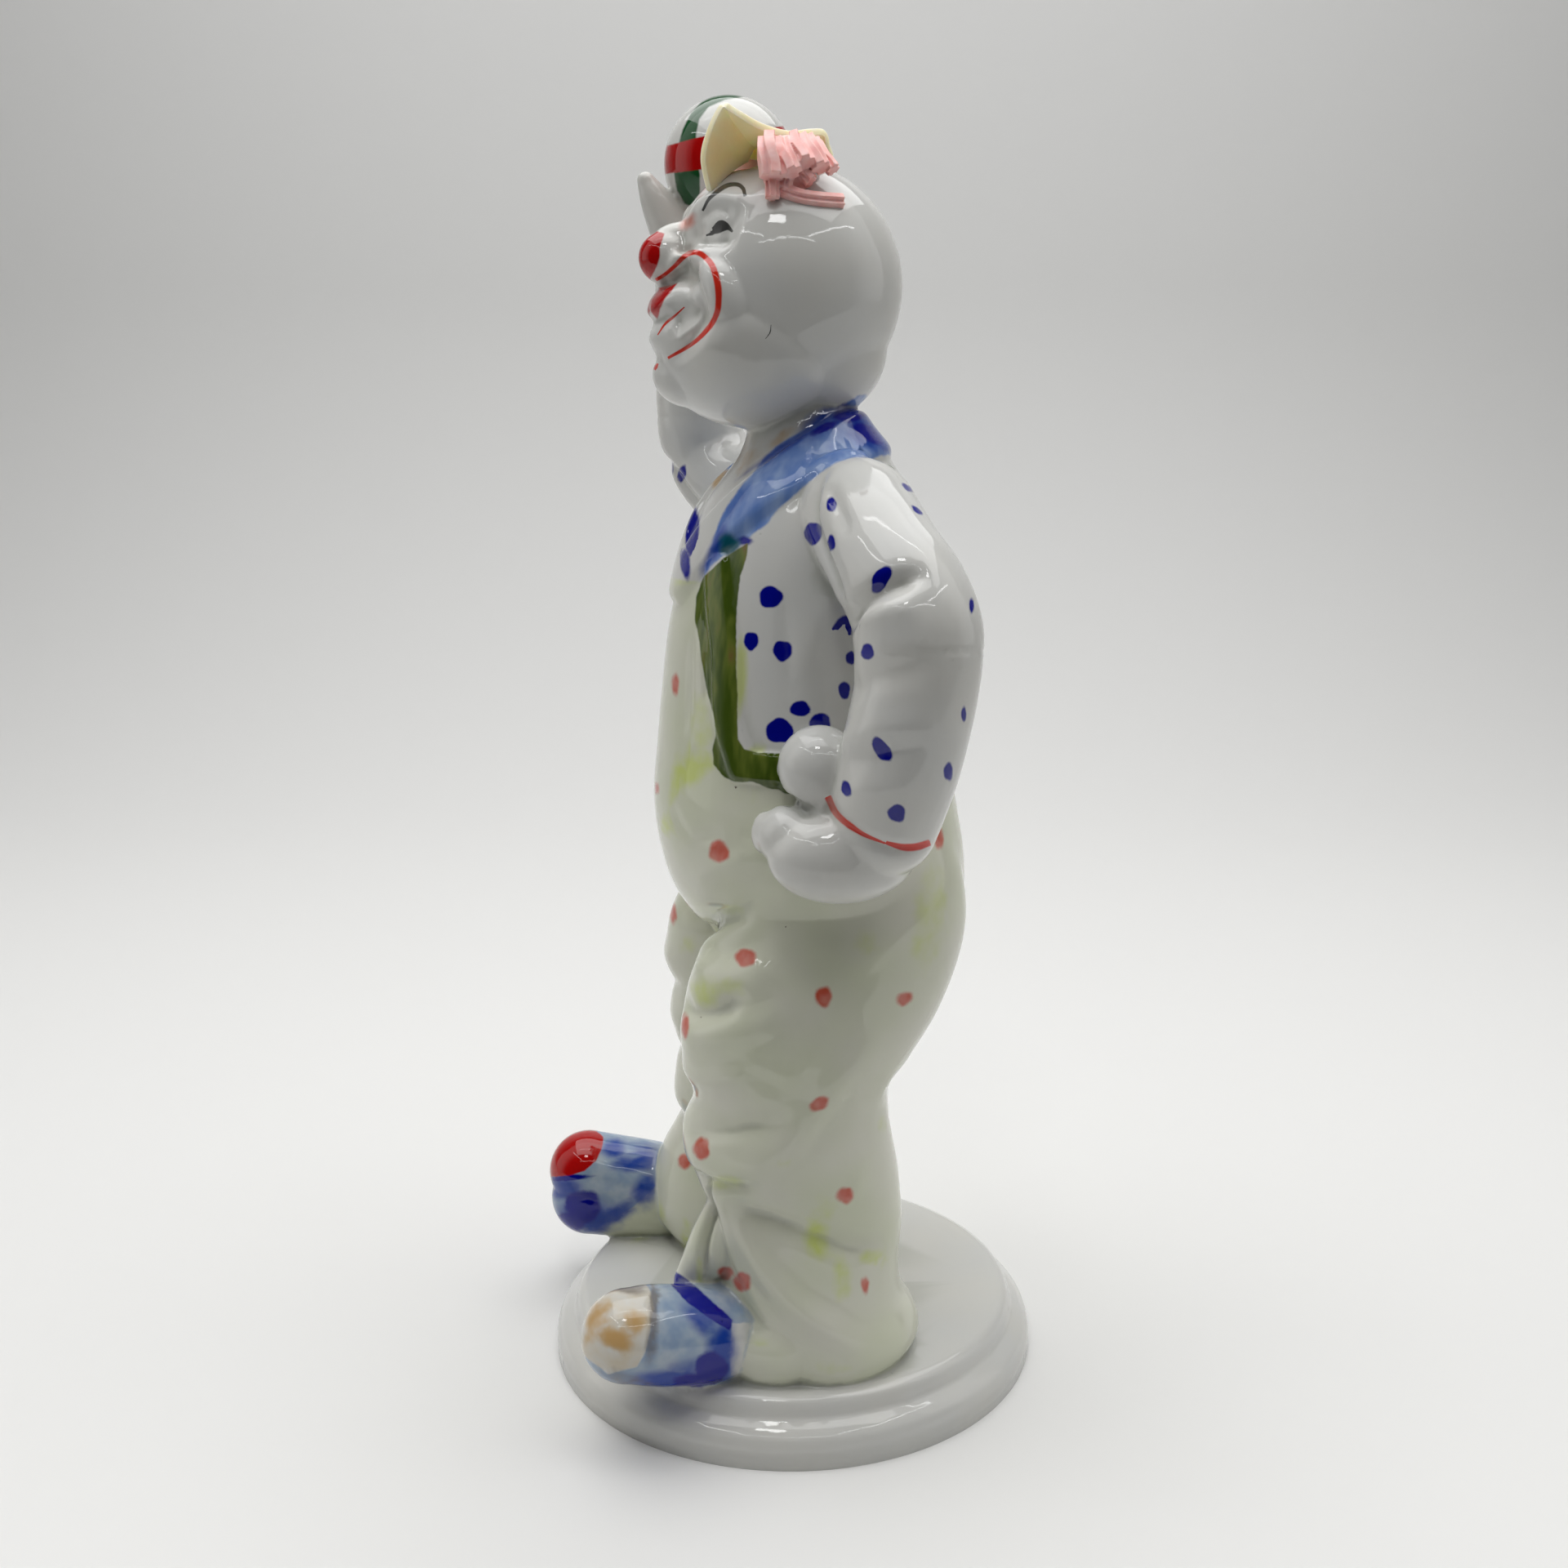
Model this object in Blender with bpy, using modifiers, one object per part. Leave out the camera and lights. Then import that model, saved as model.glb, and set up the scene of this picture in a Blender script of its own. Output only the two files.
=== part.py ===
"""Glazed porcelain clown figurine on an oval base, one hand on its hip and a striped ball held up.

+Z is up, the clown faces -Y and its own left is at +X. The origin is the middle of the base's
underside. The cast figure, ball and base are one solid. The hat and the two tufts of hair are
separate pieces of coloured clay that were stuck on, and each stands a hair's breadth off the head.
"""

import math

import bmesh
import bpy
import numpy as np
from mathutils import Matrix, Quaternion, Vector
from mathutils.bvhtree import BVHTree

MM = 0.001

# The base, real sizes
BASE_LENGTH = 77.6 * MM  # along X, at the foot
BASE_WIDTH = 80.4 * MM  # along Y, at the foot
BASE_HEIGHT = 9.5 * MM
STEP_HEIGHT = 6.6 * MM  # from the underside to the groove between the two tiers
STEP_INSET = 3.2 * MM  # how far the upper tier stands back from the foot
EDGE_ROUND = 1.8 * MM  # rounding of each tier's edge

# The figure is drawn in parts of its own height, from the base's top face to the top of the ball
FIGURE_HEIGHT = 194.0 * MM
PARTS_TALL = 194.0
PART = FIGURE_HEIGHT / PARTS_TALL

# The stuck-on pieces, real sizes
FIT_GAP = 0.3 * MM  # between the head and what is stuck on it
HAT_THICKNESS = 1.0 * MM
STRAND_WIDTH = 3.3 * MM
RIB_WIDTH = 1.5 * MM  # of the ribs that a strand is pressed with

# How fine the clay is worked
GRAIN = 0.8 * MM  # size of the cells in which the masses are fused
SOFTNESS = 1.5 * MM  # how far the glaze rounds a corner
FIGURE_FACES = 6220
HAIR_GRAIN = 0.3 * MM
HAIR_SOFTNESS = 0.3 * MM
HAIR_FACES = 980
GLAZE_CORNER = 40  # degrees between two faces at which an edge is drawn sharp
CLAY_CORNER = 30

GLAZE_WHITE = (0.86, 0.87, 0.86, 1.0)
HAT_YELLOW = (0.86, 0.74, 0.42, 1.0)
HAIR_PINK = (0.86, 0.42, 0.42, 1.0)

# Trunk and legs, as level ovals: height, middle x, front y, back y, half width
TRUNK = (
    (56, 0, -6, 19, 13),
    (62, 1, -13, 24.8, 20.5),
    (70, 1, -19, 26.7, 25.8),
    (77, 1, -21.4, 26.5, 27),
    (85, 0.5, -22.3, 25.3, 26),
    (93, 0, -21.6, 23.8, 24.5),
    (102, 0, -20.7, 22.3, 23.5),
    (111, 0, -19.6, 21.3, 22.5),
    (119, 0, -17.8, 20.5, 22),
    (126, 0, -15.6, 19.8, 21),
    (132, 0, -12.5, 17.5, 18.5),
    (137.4, 0, -8.5, 14.3, 14),
    (141.5, 0, -7, 11, 10.5),
    (146, 0, -6.5, 8, 8.4),
)
LEFT_LEG = (
    (81, 11.6, -11, 22, 14.2),
    (74.5, 12.6, -13.5, 23.4, 14.8),
    (68, 13.4, -15.5, 23.8, 15),
    (61.5, 14.4, -19.2, 22.3, 15),
    (54, 15.5, -21.4, 18.8, 14.5),
    (47.5, 16.2, -21.2, 14.2, 14.0),
    (42, 16.6, -19.8, 10.9, 13.4),
    (38, 16.8, -21.4, 10.6, 13.6),
    (33.5, 17, -21.5, 11.3, 13.8),
    (29.3, 17.2, -19.9, 12.1, 13.2),
    (25.3, 17.3, -18.2, 12.5, 12.8),
    (21, 17.6, -17.7, 12.8, 13.0),
    (14.5, 18, -17, 12.2, 13.4),
    (9.5, 18.2, -16.5, 12.6, 14.2),
    (5.5, 18.3, -16, 14.8, 15.2),
    (2.6, 18.3, -15, 15.4, 15.4),
    (0, 18.3, -13.5, 13.6, 14.2),
    (-3, 18.3, -12, 12, 13),
)
RIGHT_LEG = (
    (81, -11.6, -11, 22, 14.2),
    (74.5, -12.6, -13, 23.4, 14.8),
    (68, -13.4, -15, 23.8, 15),
    (61, -14.4, -17.8, 22, 14.8),
    (53.5, -15.5, -18, 18.4, 13.8),
    (47.5, -16, -17.5, 14, 13.2),
    (40.5, -16.5, -16.8, 11, 12.7),
    (34.5, -17, -16.5, 11, 12.6),
    (28.5, -17.4, -17, 11.5, 12.6),
    (22.5, -17.7, -16.5, 12, 12.6),
    (17.5, -18, -19.0, 12.5, 13),
    (11.5, -18.3, -20.6, 13.4, 14),
    (5.5, -18.4, -20.5, 15.6, 15.2),
    (2.6, -18.4, -19, 15.8, 15.2),
    (0, -18.4, -17, 13.6, 14),
    (-3, -18.4, -15, 12, 13),
)

# Sleeves, thumbs, flaps and shoes, as tubes: x, y, z and radius along the middle line
LEFT_SLEEVE = (
    (11, 4.6, 128.5, 8.6),
    (18, 4.8, 129.3, 8.4),
    (23.5, 5, 127, 8.2),
    (28.6, 5.8, 123.5, 8.2),
    (33, 7.2, 119.4, 8.6),
    (36, 8, 114.5, 8.9),
    (36.6, 7.8, 109, 8.7),
    (36.4, 7, 103, 8.5),
    (35.8, 6, 97, 8.3),
    (34.8, 4.8, 91.6, 8.1),
    (34, 4, 88.2, 7.9),
)
RIGHT_SLEEVE = (
    (-12, 3, 128, 8.8),
    (-20, 0.4, 130.5, 8.2),
    (-26.5, -4, 132.6, 7.6),
    (-30.5, -7, 137, 7.3),
    (-31, -8.8, 142.5, 7.0),
    (-30.5, -9.2, 150, 6.7),
    (-29.8, -9.6, 158, 6.3),
    (-29, -10, 166, 6.1),
)
LEFT_THUMB = (
    (31, 0, 86, 4.6),
    (29.6, -2, 90.6, 5),
    (28.4, -3.6, 95.2, 5.9),
)
RIGHT_THUMB = (
    (-28, -11.5, 170.5, 4.6),
    (-27.5, -14.2, 174.4, 3.5),
    (-27.1, -16.5, 178.2, 2.4),
    (-27, -17.7, 180.4, 1.5),
)
RIGHT_FINGERS = (
    (-30, -6, 172, 3.6),
    (-32, 0, 175.5, 3.2),
    (-33, 4, 180, 2.7),
    (-32.6, 5.6, 184, 2.0),
)
HEM_FLAP = (
    (18.5, -14, 25, 4.0),
    (18.6, -17.5, 18, 4.2),
    (18.2, -21.4, 12.6, 2.4),
)
LEFT_SHOE = (
    (25.2, -32.2, 8.8, 6.9),
    (25.2, -29.2, 8.5, 7.3),
    (24.6, -25, 7.5, 7.4),
    (23.4, -19, 6.1, 7.2),
    (21, -12, 5.6, 6.6),
)
RIGHT_SHOE = (
    (-26.2, -31.6, 11.2, 6.9),
    (-25.6, -27, 9.8, 7.2),
    (-24.2, -21, 8.4, 7.4),
    (-21.6, -14, 7, 7.2),
)
RIGHT_SOLE = (
    (-26, -31.4, 6.2, 6.9),
    (-25.2, -26, 5.6, 7),
    (-23.6, -19, 5.4, 7.0),
)
TUBES = (
    LEFT_SLEEVE,
    RIGHT_SLEEVE,
    LEFT_THUMB,
    RIGHT_THUMB,
    RIGHT_FINGERS,
    HEM_FLAP,
    LEFT_SHOE,
    RIGHT_SHOE,
    RIGHT_SOLE,
)

# Rounded masses: x, y, z and the three half sizes
MASSES = (
    (0.8, -1.2, 162, 16.4, 17.0, 17.5),  # skull
    (0, -7, 163.8, 14.2, 11.2, 14.6),  # forehead
    (0.5, -6.2, 153.8, 14.6, 15.3, 12.3),  # jaw
    (0.5, 2, 153.5, 12.5, 11.8, 11),  # nape
    (8.4, -11.4, 159.5, 5.8, 6, 6.5),  # cheeks
    (-8.4, -11.4, 159.5, 5.8, 6, 6.5),
    (0, -13.8, 157, 9.5, 8.2, 8),  # round the mouth
    (0, -15.8, 149.6, 6.5, 5.8, 5),  # chin
    (0, -16, 168.4, 2.9, 5.2, 2.6),  # bridge of the nose
    (0, -18.9, 165.8, 3.9, 4.5, 3.9),  # nose and its wings
    (3, -17, 165, 2.4, 3, 2.4),
    (-3, -17, 165, 2.4, 3, 2.4),
    (31.5, -1.0, 83.2, 7.7, 10.8, 7.0),  # hand on the hip
    (29, -7.9, 85.6, 5.0, 4.8, 4.5),
    (26.8, -10.8, 85.6, 2.6, 2.3, 3.2),
    (-28.6, -9.6, 171, 5.6, 6.0, 5.0),  # hand under the ball
    (-29, -5, 173, 5.6, 6.2, 4.4),
    (-28, -3.8, 183.4, 10.6, 10.6, 10.6),  # ball
    (24, -8.5, 4.5, 8.2, 9.4, 7.0),  # hem over the left shoe
    (-22.6, -9.5, 5.5, 7.6, 9.4, 7.0),  # hem over the right shoe
)

# The hat's rim, as points round it, from over the left brow past the left side to the back
HAT_RIM = (
    (5.6, -14.0, 174.4),
    (7.0, -15.1, 178.4),
    (8.2, -14.5, 181.8),
    (8.8, -13.2, 184.6),
    (9.0, -12.4, 185.3),
    (9.1, -11.2, 184.7),
    (9.2, -7.4, 182.8),
    (9.2, -3.4, 181.9),
    (8.7, 0.4, 182.4),
    (8.0, 2.3, 182.4),
    (7.0, 3.2, 180.8),
    (3.4, 4.8, 179.8),
    (-1.5, 5.4, 180.2),
    (-6.4, 4.4, 181.4),
    (-9.4, -3.6, 182.4),
    (-8.4, -10, 182.6),
    (-4.6, -11.8, 179),
    (1, -12.7, 177),
)
HAT_MIDDLE = (0.4, -3.4, 180.5)
CROWN_HEIGHT = 2.6
CROWN_SHARE = 0.42  # how far out the crown reaches, as a share of the way to the rim

# The left tuft: its roots (middle and half sizes), then each strand: how wide it is as a share of the
# full width, its turn in degrees, and where it runs from the root to its tip
TUFT_ROOTS = (
    (9.0, -2.7, 179.0, 2.6, 4.8, 2.8),
    (11.3, -3.6, 175.8, 1.9, 3.3, 3.2),
)
STRANDS = (
    (1.0, 0, ((10.3, -6.3, 180.7), (12.7, -6.9, 178.6), (14.0, -6.8, 175.3))),
    (0.8, 45, ((10.4, -4.4, 180.4), (13.0, -4.5, 178.2), (14.7, -4.0, 175.9))),
    (0.85, 20, ((9.7, -2.4, 181.2), (12.4, -2.7, 179.2), (14.5, -2.2, 177.2))),
    (0.8, 40, ((9.6, -0.9, 181.2), (12.2, -0.6, 179.1), (13.9, 0.2, 176.8))),
    (0.62, 10, ((9.4, 0.5, 180.9), (11.8, 1.1, 178.6), (13.2, 2.2, 176.7))),
    (0.6, 0, ((12.0, -6.3, 177.0), (13.0, -6.6, 174.8), (13.7, -6.7, 172.6))),
    (0.5, 30, ((12.4, -4.0, 177.0), (12.9, -4.3, 175.2), (13.3, -4.6, 173.6))),
    (0.6, 45, ((11.6, -3.0, 177.6), (12.8, -2.0, 176.2), (13.6, -1.1, 175.0))),
    (0.66, 45, ((12.2, -6.0, 174.4), (13.5, -2.9, 173.0), (13.8, 0.2, 172.6), (13.2, 3.4, 172.6))),
)

# What is pressed into the soft clay and what stands up from it. Each line gives the height (below
# the surface when negative), the reach to each side and the points that it runs through.
FOLDS = (
    (-1.4, 2.0, ((-3, -15, 62), (5, -15.5, 64), (13, -16, 69), (18.5, -13.5, 72), (25, -8, 77))),
    (-1.1, 2.2, ((3, -15, 61), (-7, -15, 64), (-16, -13, 68), (-28, -2, 79))),
    (0.5, 2.2, ((10, -16, 63), (14.5, -16, 66), (18, -14, 68.5), (23.5, -8.5, 73.5))),
    (-1.4, 1.5, ((19, -2, 140), (20.5, -3.5, 134), (22.5, -4, 129), (27, -3, 124), (33, -1.6, 117.5))),
    (-1.2, 1.7, ((11, -20, 56.5), (18, -20, 56.5), (23, -17, 58.5), (25.5, -13.5, 62))),
    (0.9, 3.0, ((12, -19, 63), (18, -18, 63), (23, -15, 62.5), (27, -8, 66))),
    (0.6, 2.5, ((14, -21, 53), (21, -19, 53.5), (27, -13, 57), (30, -6, 61))),
    (0.7, 3.0, ((30, 8, 56), (31, -4, 44), (30, -10, 38), (24, -17.5, 32))),
    (-0.8, 1.5, ((15, -21, 37), (20, -20, 38), (25, -15.5, 40), (28, -9, 43))),
    (-1.2, 1.4, ((15, -21, 29), (21, -20.5, 30), (26, -17.5, 31), (29.5, -12, 33))),
    (-1.0, 0.9, ((21.5, -19.5, 31), (21.5, -19.5, 25), (21.5, -19.5, 19), (22, -19, 12))),
    (1.2, 2.4, ((24, -19, 31), (26, -16, 24), (28.5, -12, 18), (31, -6, 12), (33, 4, 5))),
    (-1.1, 1.7, ((26, -19, 30), (29, -15.9, 26.9), (30, -11, 26.3), (30, -5.4, 24.6), (30, 1, 21.1), (28, 8, 19))),
    (-1.6, 1.5, ((30, -1, 115), (34, -2, 116.5), (38.5, 0, 120), (42.5, 4, 123.5), (43, 8, 125))),
    (-0.7, 2.0, ((44, 8, 111.5), (42, 1, 110), (38, -1, 108), (33, 1, 106))),
    (0.5, 2.0, ((44, 8, 104), (42, 1, 103), (38, -1.5, 101), (33, 1, 100))),
    (-0.6, 1.1, ((31, -4, 92), (33.5, -3.5, 91), (40, -0.5, 87.8), (41.8, 4, 86), (40, 9, 85.8))),
    (-0.8, 1.0, ((23, -7, 92.5), (26.5, -6.5, 91.5), (30, -4.5, 90.8), (33, -3.5, 91))),
    (-0.9, 2.2, ((2, 11, 45), (8, 13, 43.5), (16, 13, 43), (26, 8, 45))),
    (-0.9, 2.2, ((-2, 11, 45), (-8, 12, 43.5), (-16, 12, 43), (-27, 8, 45))),
    (-1.6, 2.2, ((0, 27, 84), (0, 27, 76), (0, 25, 68), (0, 20, 60))),
    (0.7, 2.6, ((-6, -17, 56), (-15, -18.5, 54.5), (-24, -13, 55), (-29, -5, 58))),
    (-0.8, 2.0, ((-6, -16, 50), (-16, -17, 49), (-26, -10, 50), (-30, 0, 53))),
    (0.6, 2.4, ((-6, -16, 44), (-16, -17.5, 43), (-26, -10, 44), (-30, 0, 47))),
    (-0.8, 1.8, ((-7, -15, 37), (-16, -16.5, 36.5), (-26, -10, 37.5), (-30, 0, 40))),
    (-0.9, 1.8, ((-9, -16, 25), (-17, -17, 24), (-26, -11, 25.5), (-31, 0, 28))),
    (-1.0, 1.6, ((-20, -8, 125), (-26, -11, 131), (-31, -11, 137), (-37, -6, 141))),
)
# Creases and ridges of the face, given for its left half
FEATURES = (
    (-1.3, 2.5, ((3, -18, 168), (6.5, -15.8, 168.6), (9.5, -14, 169), (13, -11, 168.6))),
    (0.6, 1.9, ((2, -17, 171), (4.5, -15.8, 172.6), (8, -13.6, 174), (13, -9, 172.6))),
    (0.8, 2.8, ((5, -18, 165), (9, -16, 164), (12.4, -13.5, 160.5), (13, -13, 155), (9, -17, 150))),
    (-1.2, 1.5, ((3, -20, 163.5), (7.6, -17.6, 163), (10.4, -15.8, 159.5), (9.8, -16.4, 155), (5, -19, 151))),
    (0.3, 1.3, ((-3, -21, 159.3), (0, -21.5, 159.6), (3, -20.8, 159.4), (7, -18.6, 160.6))),
    (-0.8, 1.2, ((-3, -21, 157), (0, -21.5, 156.8), (3, -21, 157), (6.5, -18.6, 157.2), (9.6, -16.6, 158.4))),
    (-1.1, 2.2, ((5.5, -19.5, 156), (8, -18, 156.6), (9.8, -17, 157.6), (10.6, -16.4, 159.4))),
    (0.4, 1.3, ((-3, -20.4, 154.4), (0, -21, 154.4), (3, -20.4, 154.6), (7, -18.4, 156.4))),
    (-0.35, 1.5, ((-5, -19, 152), (0, -21, 152), (5, -19, 152))),
)
# The collar, the braces and the belt are flat bands that stand up, given for the left side
BANDS = (
    (1.2, 4.2, ((0, 12.5, 140.5), (11, 5, 139), (13, -3, 135.5), (10, -11, 129.5), (1.5, -17.5, 120))),
    (0.7, 2.5, ((11, -15, 122), (13.5, -15, 116), (16, -15, 110), (17.5, -15, 101), (20, -13.5, 94.5))),
    (0.7, 2.3, ((20, -13.5, 94), (24, -6, 94), (25.5, 3, 95), (21, 14, 96), (11, 21, 97), (0, 24, 97.5))),
    (0.7, 2.3, ((8, 22, 98), (9, 22, 112), (11, 18, 125), (12, 11, 134))),
)
FOLD_FADE = 0.22  # share of a fold's length over which each of its ends dies away
BAND_EDGE = 8  # how steep a band's edges are


def place(x, y, z):
    """A point of the figure, given in its parts, z from the base's top face."""
    return Vector((x * PART, y * PART, z * PART + BASE_HEIGHT))


def material(name, colour, roughness):
    made = bpy.data.materials.new(name)
    made.use_nodes = True
    shader = made.node_tree.nodes["Principled BSDF"]
    shader.inputs["Base Color"].default_value = colour
    shader.inputs["Roughness"].default_value = roughness
    shader.inputs["Metallic"].default_value = 0.0
    return made


def link(name, mesh, collection):
    made = bpy.data.objects.new(name, mesh)
    collection.objects.link(made)
    return made


def applied(obj):
    """The object with its modifiers made part of its mesh."""
    graph = bpy.context.evaluated_depsgraph_get()
    mesh = bpy.data.meshes.new_from_object(obj.evaluated_get(graph))
    obj.modifiers.clear()
    obj.data = mesh
    return obj


def curved_rows(rows, steps):
    """Rows of numbers with more rows between them, on a smooth curve through them all."""
    rows = np.array(rows, float)
    ends = np.vstack([2 * rows[0] - rows[1], rows, 2 * rows[-1] - rows[-2]])
    made = []
    for a, b, c, d in zip(ends, ends[1:], ends[2:], ends[3:]):
        for t in np.arange(steps) / steps:
            bent = 2 * b + (c - a) * t + (2 * a - 5 * b + 4 * c - d) * t * t
            made.append((bent + (3 * b - a - 3 * c + d) * t**3) / 2)
    return np.vstack(made + [rows[-1]])


def solid_through(name, rings, collection):
    """A closed solid through rings of points, with its two ends capped."""
    bm = bmesh.new()
    loops = [[bm.verts.new(point) for point in ring] for ring in rings]
    for lower, upper in zip(loops, loops[1:]):
        for i, corner in enumerate(lower):
            j = (i + 1) % len(lower)
            bm.faces.new((corner, lower[j], upper[j], upper[i]))
    bm.faces.new(reversed(loops[0]))
    bm.faces.new(loops[-1])
    bmesh.ops.recalc_face_normals(bm, faces=bm.faces)
    mesh = bpy.data.meshes.new(name)
    bm.to_mesh(mesh)
    bm.free()
    return link(name, mesh, collection)


def level_ovals(name, rows, collection, sides=40, steps=4):
    """A mass drawn as level ovals, each rounder or flatter at its front and back."""
    rings = []
    for z, x, front, back, half in curved_rows(rows, steps):
        middle, reach = (front + back) / 2, (back - front) / 2
        turns = [2 * math.pi * i / sides for i in range(sides)]
        rings.append(
            [place(x + half * math.cos(t), middle + reach * math.sin(t), z) for t in turns]
        )
    return solid_through(name, rings, collection)


def tube(name, rows, collection, sides=20, steps=4):
    """A flat-ended tube whose radius changes along its middle line."""
    rows = curved_rows(rows, steps)
    points = [place(x, y, z) for x, y, z, _ in rows]
    rings = []
    for i, point in enumerate(points):
        along = (points[min(i + 1, len(points) - 1)] - points[max(i - 1, 0)]).normalized()
        turn = along.to_track_quat("Z", "Y")
        radius = rows[i][3] * PART
        around = [2 * math.pi * k / sides for k in range(sides)]
        rings.append(
            [point + turn @ Vector((radius * math.cos(t), radius * math.sin(t), 0)) for t in around]
        )
    return solid_through(name, rings, collection)


def rounded_mass(name, x, y, z, half_x, half_y, half_z, collection, around=32, down=20):
    bm = bmesh.new()
    bmesh.ops.create_uvsphere(bm, u_segments=around, v_segments=down, radius=1.0)
    size = Matrix.Diagonal((half_x * PART, half_y * PART, half_z * PART, 1))
    bm.transform(Matrix.Translation(place(x, y, z)) @ size)
    mesh = bpy.data.meshes.new(name)
    bm.to_mesh(mesh)
    bm.free()
    return link(name, mesh, collection)


def base_mass(collection, sides=96):
    """The two tiers of the base. It starts below the underside, where it is cut flat at the end."""
    rows = (
        (-4 * MM, 0),
        (STEP_HEIGHT - 2 * EDGE_ROUND, 0),
        (STEP_HEIGHT - EDGE_ROUND, 0.2 * STEP_INSET),
        (STEP_HEIGHT - 0.4 * EDGE_ROUND, 0.6 * STEP_INSET),
        (STEP_HEIGHT, STEP_INSET),
        (BASE_HEIGHT - EDGE_ROUND, 1.05 * STEP_INSET),
        (BASE_HEIGHT - 0.3 * EDGE_ROUND, STEP_INSET + 0.4 * EDGE_ROUND),
        (BASE_HEIGHT, STEP_INSET + EDGE_ROUND),
    )
    rings = []
    for z, inset in rows:
        half_x, half_y = BASE_LENGTH / 2 - inset, BASE_WIDTH / 2 - inset
        turns = [2 * math.pi * i / sides for i in range(sides)]
        rings.append([Vector((half_x * math.cos(t), half_y * math.sin(t), z)) for t in turns])
    return solid_through("base_mass", rings, collection)


def fused(name, masses, collection, grain, softness):
    """All the masses as one skin, its corners rounded as glaze rounds them."""
    bm = bmesh.new()
    for mass in masses:
        bm.from_mesh(mass.data)
    mesh = bpy.data.meshes.new(name)
    bm.to_mesh(mesh)
    bm.free()
    made = link(name, mesh, collection)
    for mass in masses:
        bpy.data.objects.remove(mass)
    remesh = made.modifiers.new("fuse", "REMESH")
    remesh.mode = "VOXEL"
    remesh.voxel_size = grain
    smooth = made.modifiers.new("soften", "SMOOTH")
    smooth.factor = 0.5
    smooth.iterations = max(1, round((softness / grain) ** 2))
    return applied(made)


def points_of(mesh):
    found = np.empty(len(mesh.vertices) * 3, np.float32)
    mesh.vertices.foreach_get("co", found)
    return found.reshape(-1, 3).astype(float)


def normals_of(mesh):
    found = np.empty(len(mesh.vertices) * 3, np.float32)
    mesh.vertex_normals.foreach_get("vector", found)
    return found.reshape(-1, 3).astype(float)


def set_points(mesh, points):
    mesh.vertices.foreach_set("co", points.astype(np.float32).ravel())
    mesh.update()


def measured_from(points, path):
    """How far each point is from a path of straight stretches, and at what share of its length."""
    least = np.full(len(points), np.inf)
    share = np.zeros(len(points))
    lengths = [np.linalg.norm(end - start) for start, end in zip(path, path[1:])]
    passed = 0.0
    for start, end, length in zip(path, path[1:], lengths):
        along = (end - start) / max(length, 1e-9)
        reached = np.clip((points - start) @ along, 0, length)
        gap = np.linalg.norm(points - start - reached[:, None] * along, axis=1)
        nearer = gap < least
        least[nearer] = gap[nearer]
        share[nearer] = ((passed + reached) / sum(lengths))[nearer]
        passed += length
    return least, share


def on_surface(tree, path):
    """The path, with more points on a smooth curve, laid on the surface."""
    points = [place(*row) for row in curved_rows(path, 6)]
    return np.array([tree.find_nearest(point)[0] for point in points])


def both_sides(strokes):
    """The strokes with their mirror images."""
    mirrored = [(*rest, [(-x, y, z) for x, y, z in path]) for *rest, path in strokes]
    return [*strokes, *mirrored]


def work_surface(obj):
    """Presses folds and features into the soft clay, and raises the collar, braces and belt."""
    tree = BVHTree.FromObject(obj, bpy.context.evaluated_depsgraph_get())
    points, normals = points_of(obj.data), normals_of(obj.data)
    raised, pressed = np.zeros(len(points)), np.zeros(len(points))
    for height, reach, path in (*FOLDS, *both_sides(FEATURES)):
        gap, share = measured_from(points, on_surface(tree, path))
        fade = np.clip(np.minimum(share, 1 - share) / FOLD_FADE, 0, 1)
        stroke = height * fade * np.exp(-((gap / (reach * PART)) ** 2))
        raised, pressed = np.maximum(raised, stroke), np.minimum(pressed, stroke)
    for height, reach, path in both_sides(BANDS):
        gap, _ = measured_from(points, on_surface(tree, path))
        raised = np.maximum(raised, height * np.exp(-((gap / (reach * PART)) ** BAND_EDGE)))
    set_points(obj.data, points + normals * ((raised + pressed) * PART)[:, None])


def outer_skin(obj):
    """Keeps the largest of the object's separate skins, so that no void is left inside it."""
    bm = bmesh.new()
    bm.from_mesh(obj.data)
    left, skins = set(bm.verts), []
    while left:
        skin, edge = set(), [left.pop()]
        while edge:
            vert = edge.pop()
            skin.add(vert)
            found = {side.other_vert(vert) for side in vert.link_edges} & left
            left -= found
            edge.extend(found)
        skins.append(skin)
    largest = max(skins, key=len)
    bmesh.ops.delete(bm, geom=[vert for vert in bm.verts if vert not in largest], context="VERTS")
    bm.to_mesh(obj.data)
    bm.free()
    return obj


def thinned(obj, faces):
    """The same form in fewer triangles."""
    obj.data.calc_loop_triangles()
    fewer = obj.modifiers.new("thin", "DECIMATE")
    fewer.ratio = min(1.0, faces / len(obj.data.loop_triangles))
    fewer.use_collapse_triangulate = True
    return applied(obj)


def cut_flat(obj):
    """Cuts the object flat at the underside and closes it there."""
    bm = bmesh.new()
    bm.from_mesh(obj.data)
    everything = bm.verts[:] + bm.edges[:] + bm.faces[:]
    bmesh.ops.bisect_plane(
        bm, geom=everything, plane_co=(0, 0, 0), plane_no=(0, 0, 1), clear_inner=True
    )
    rim = [edge for edge in bm.edges if edge.is_boundary]
    bmesh.ops.contextual_create(bm, geom=rim)
    bmesh.ops.triangulate(bm, faces=bm.faces[:])
    bmesh.ops.recalc_face_normals(bm, faces=bm.faces)
    bm.to_mesh(obj.data)
    bm.free()


def shaded(obj, finish, angle):
    obj.data.materials.clear()
    obj.data.materials.append(finish)
    obj.data.shade_smooth()
    obj.data.set_sharp_from_angle(angle=math.radians(angle))
    return obj


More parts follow.
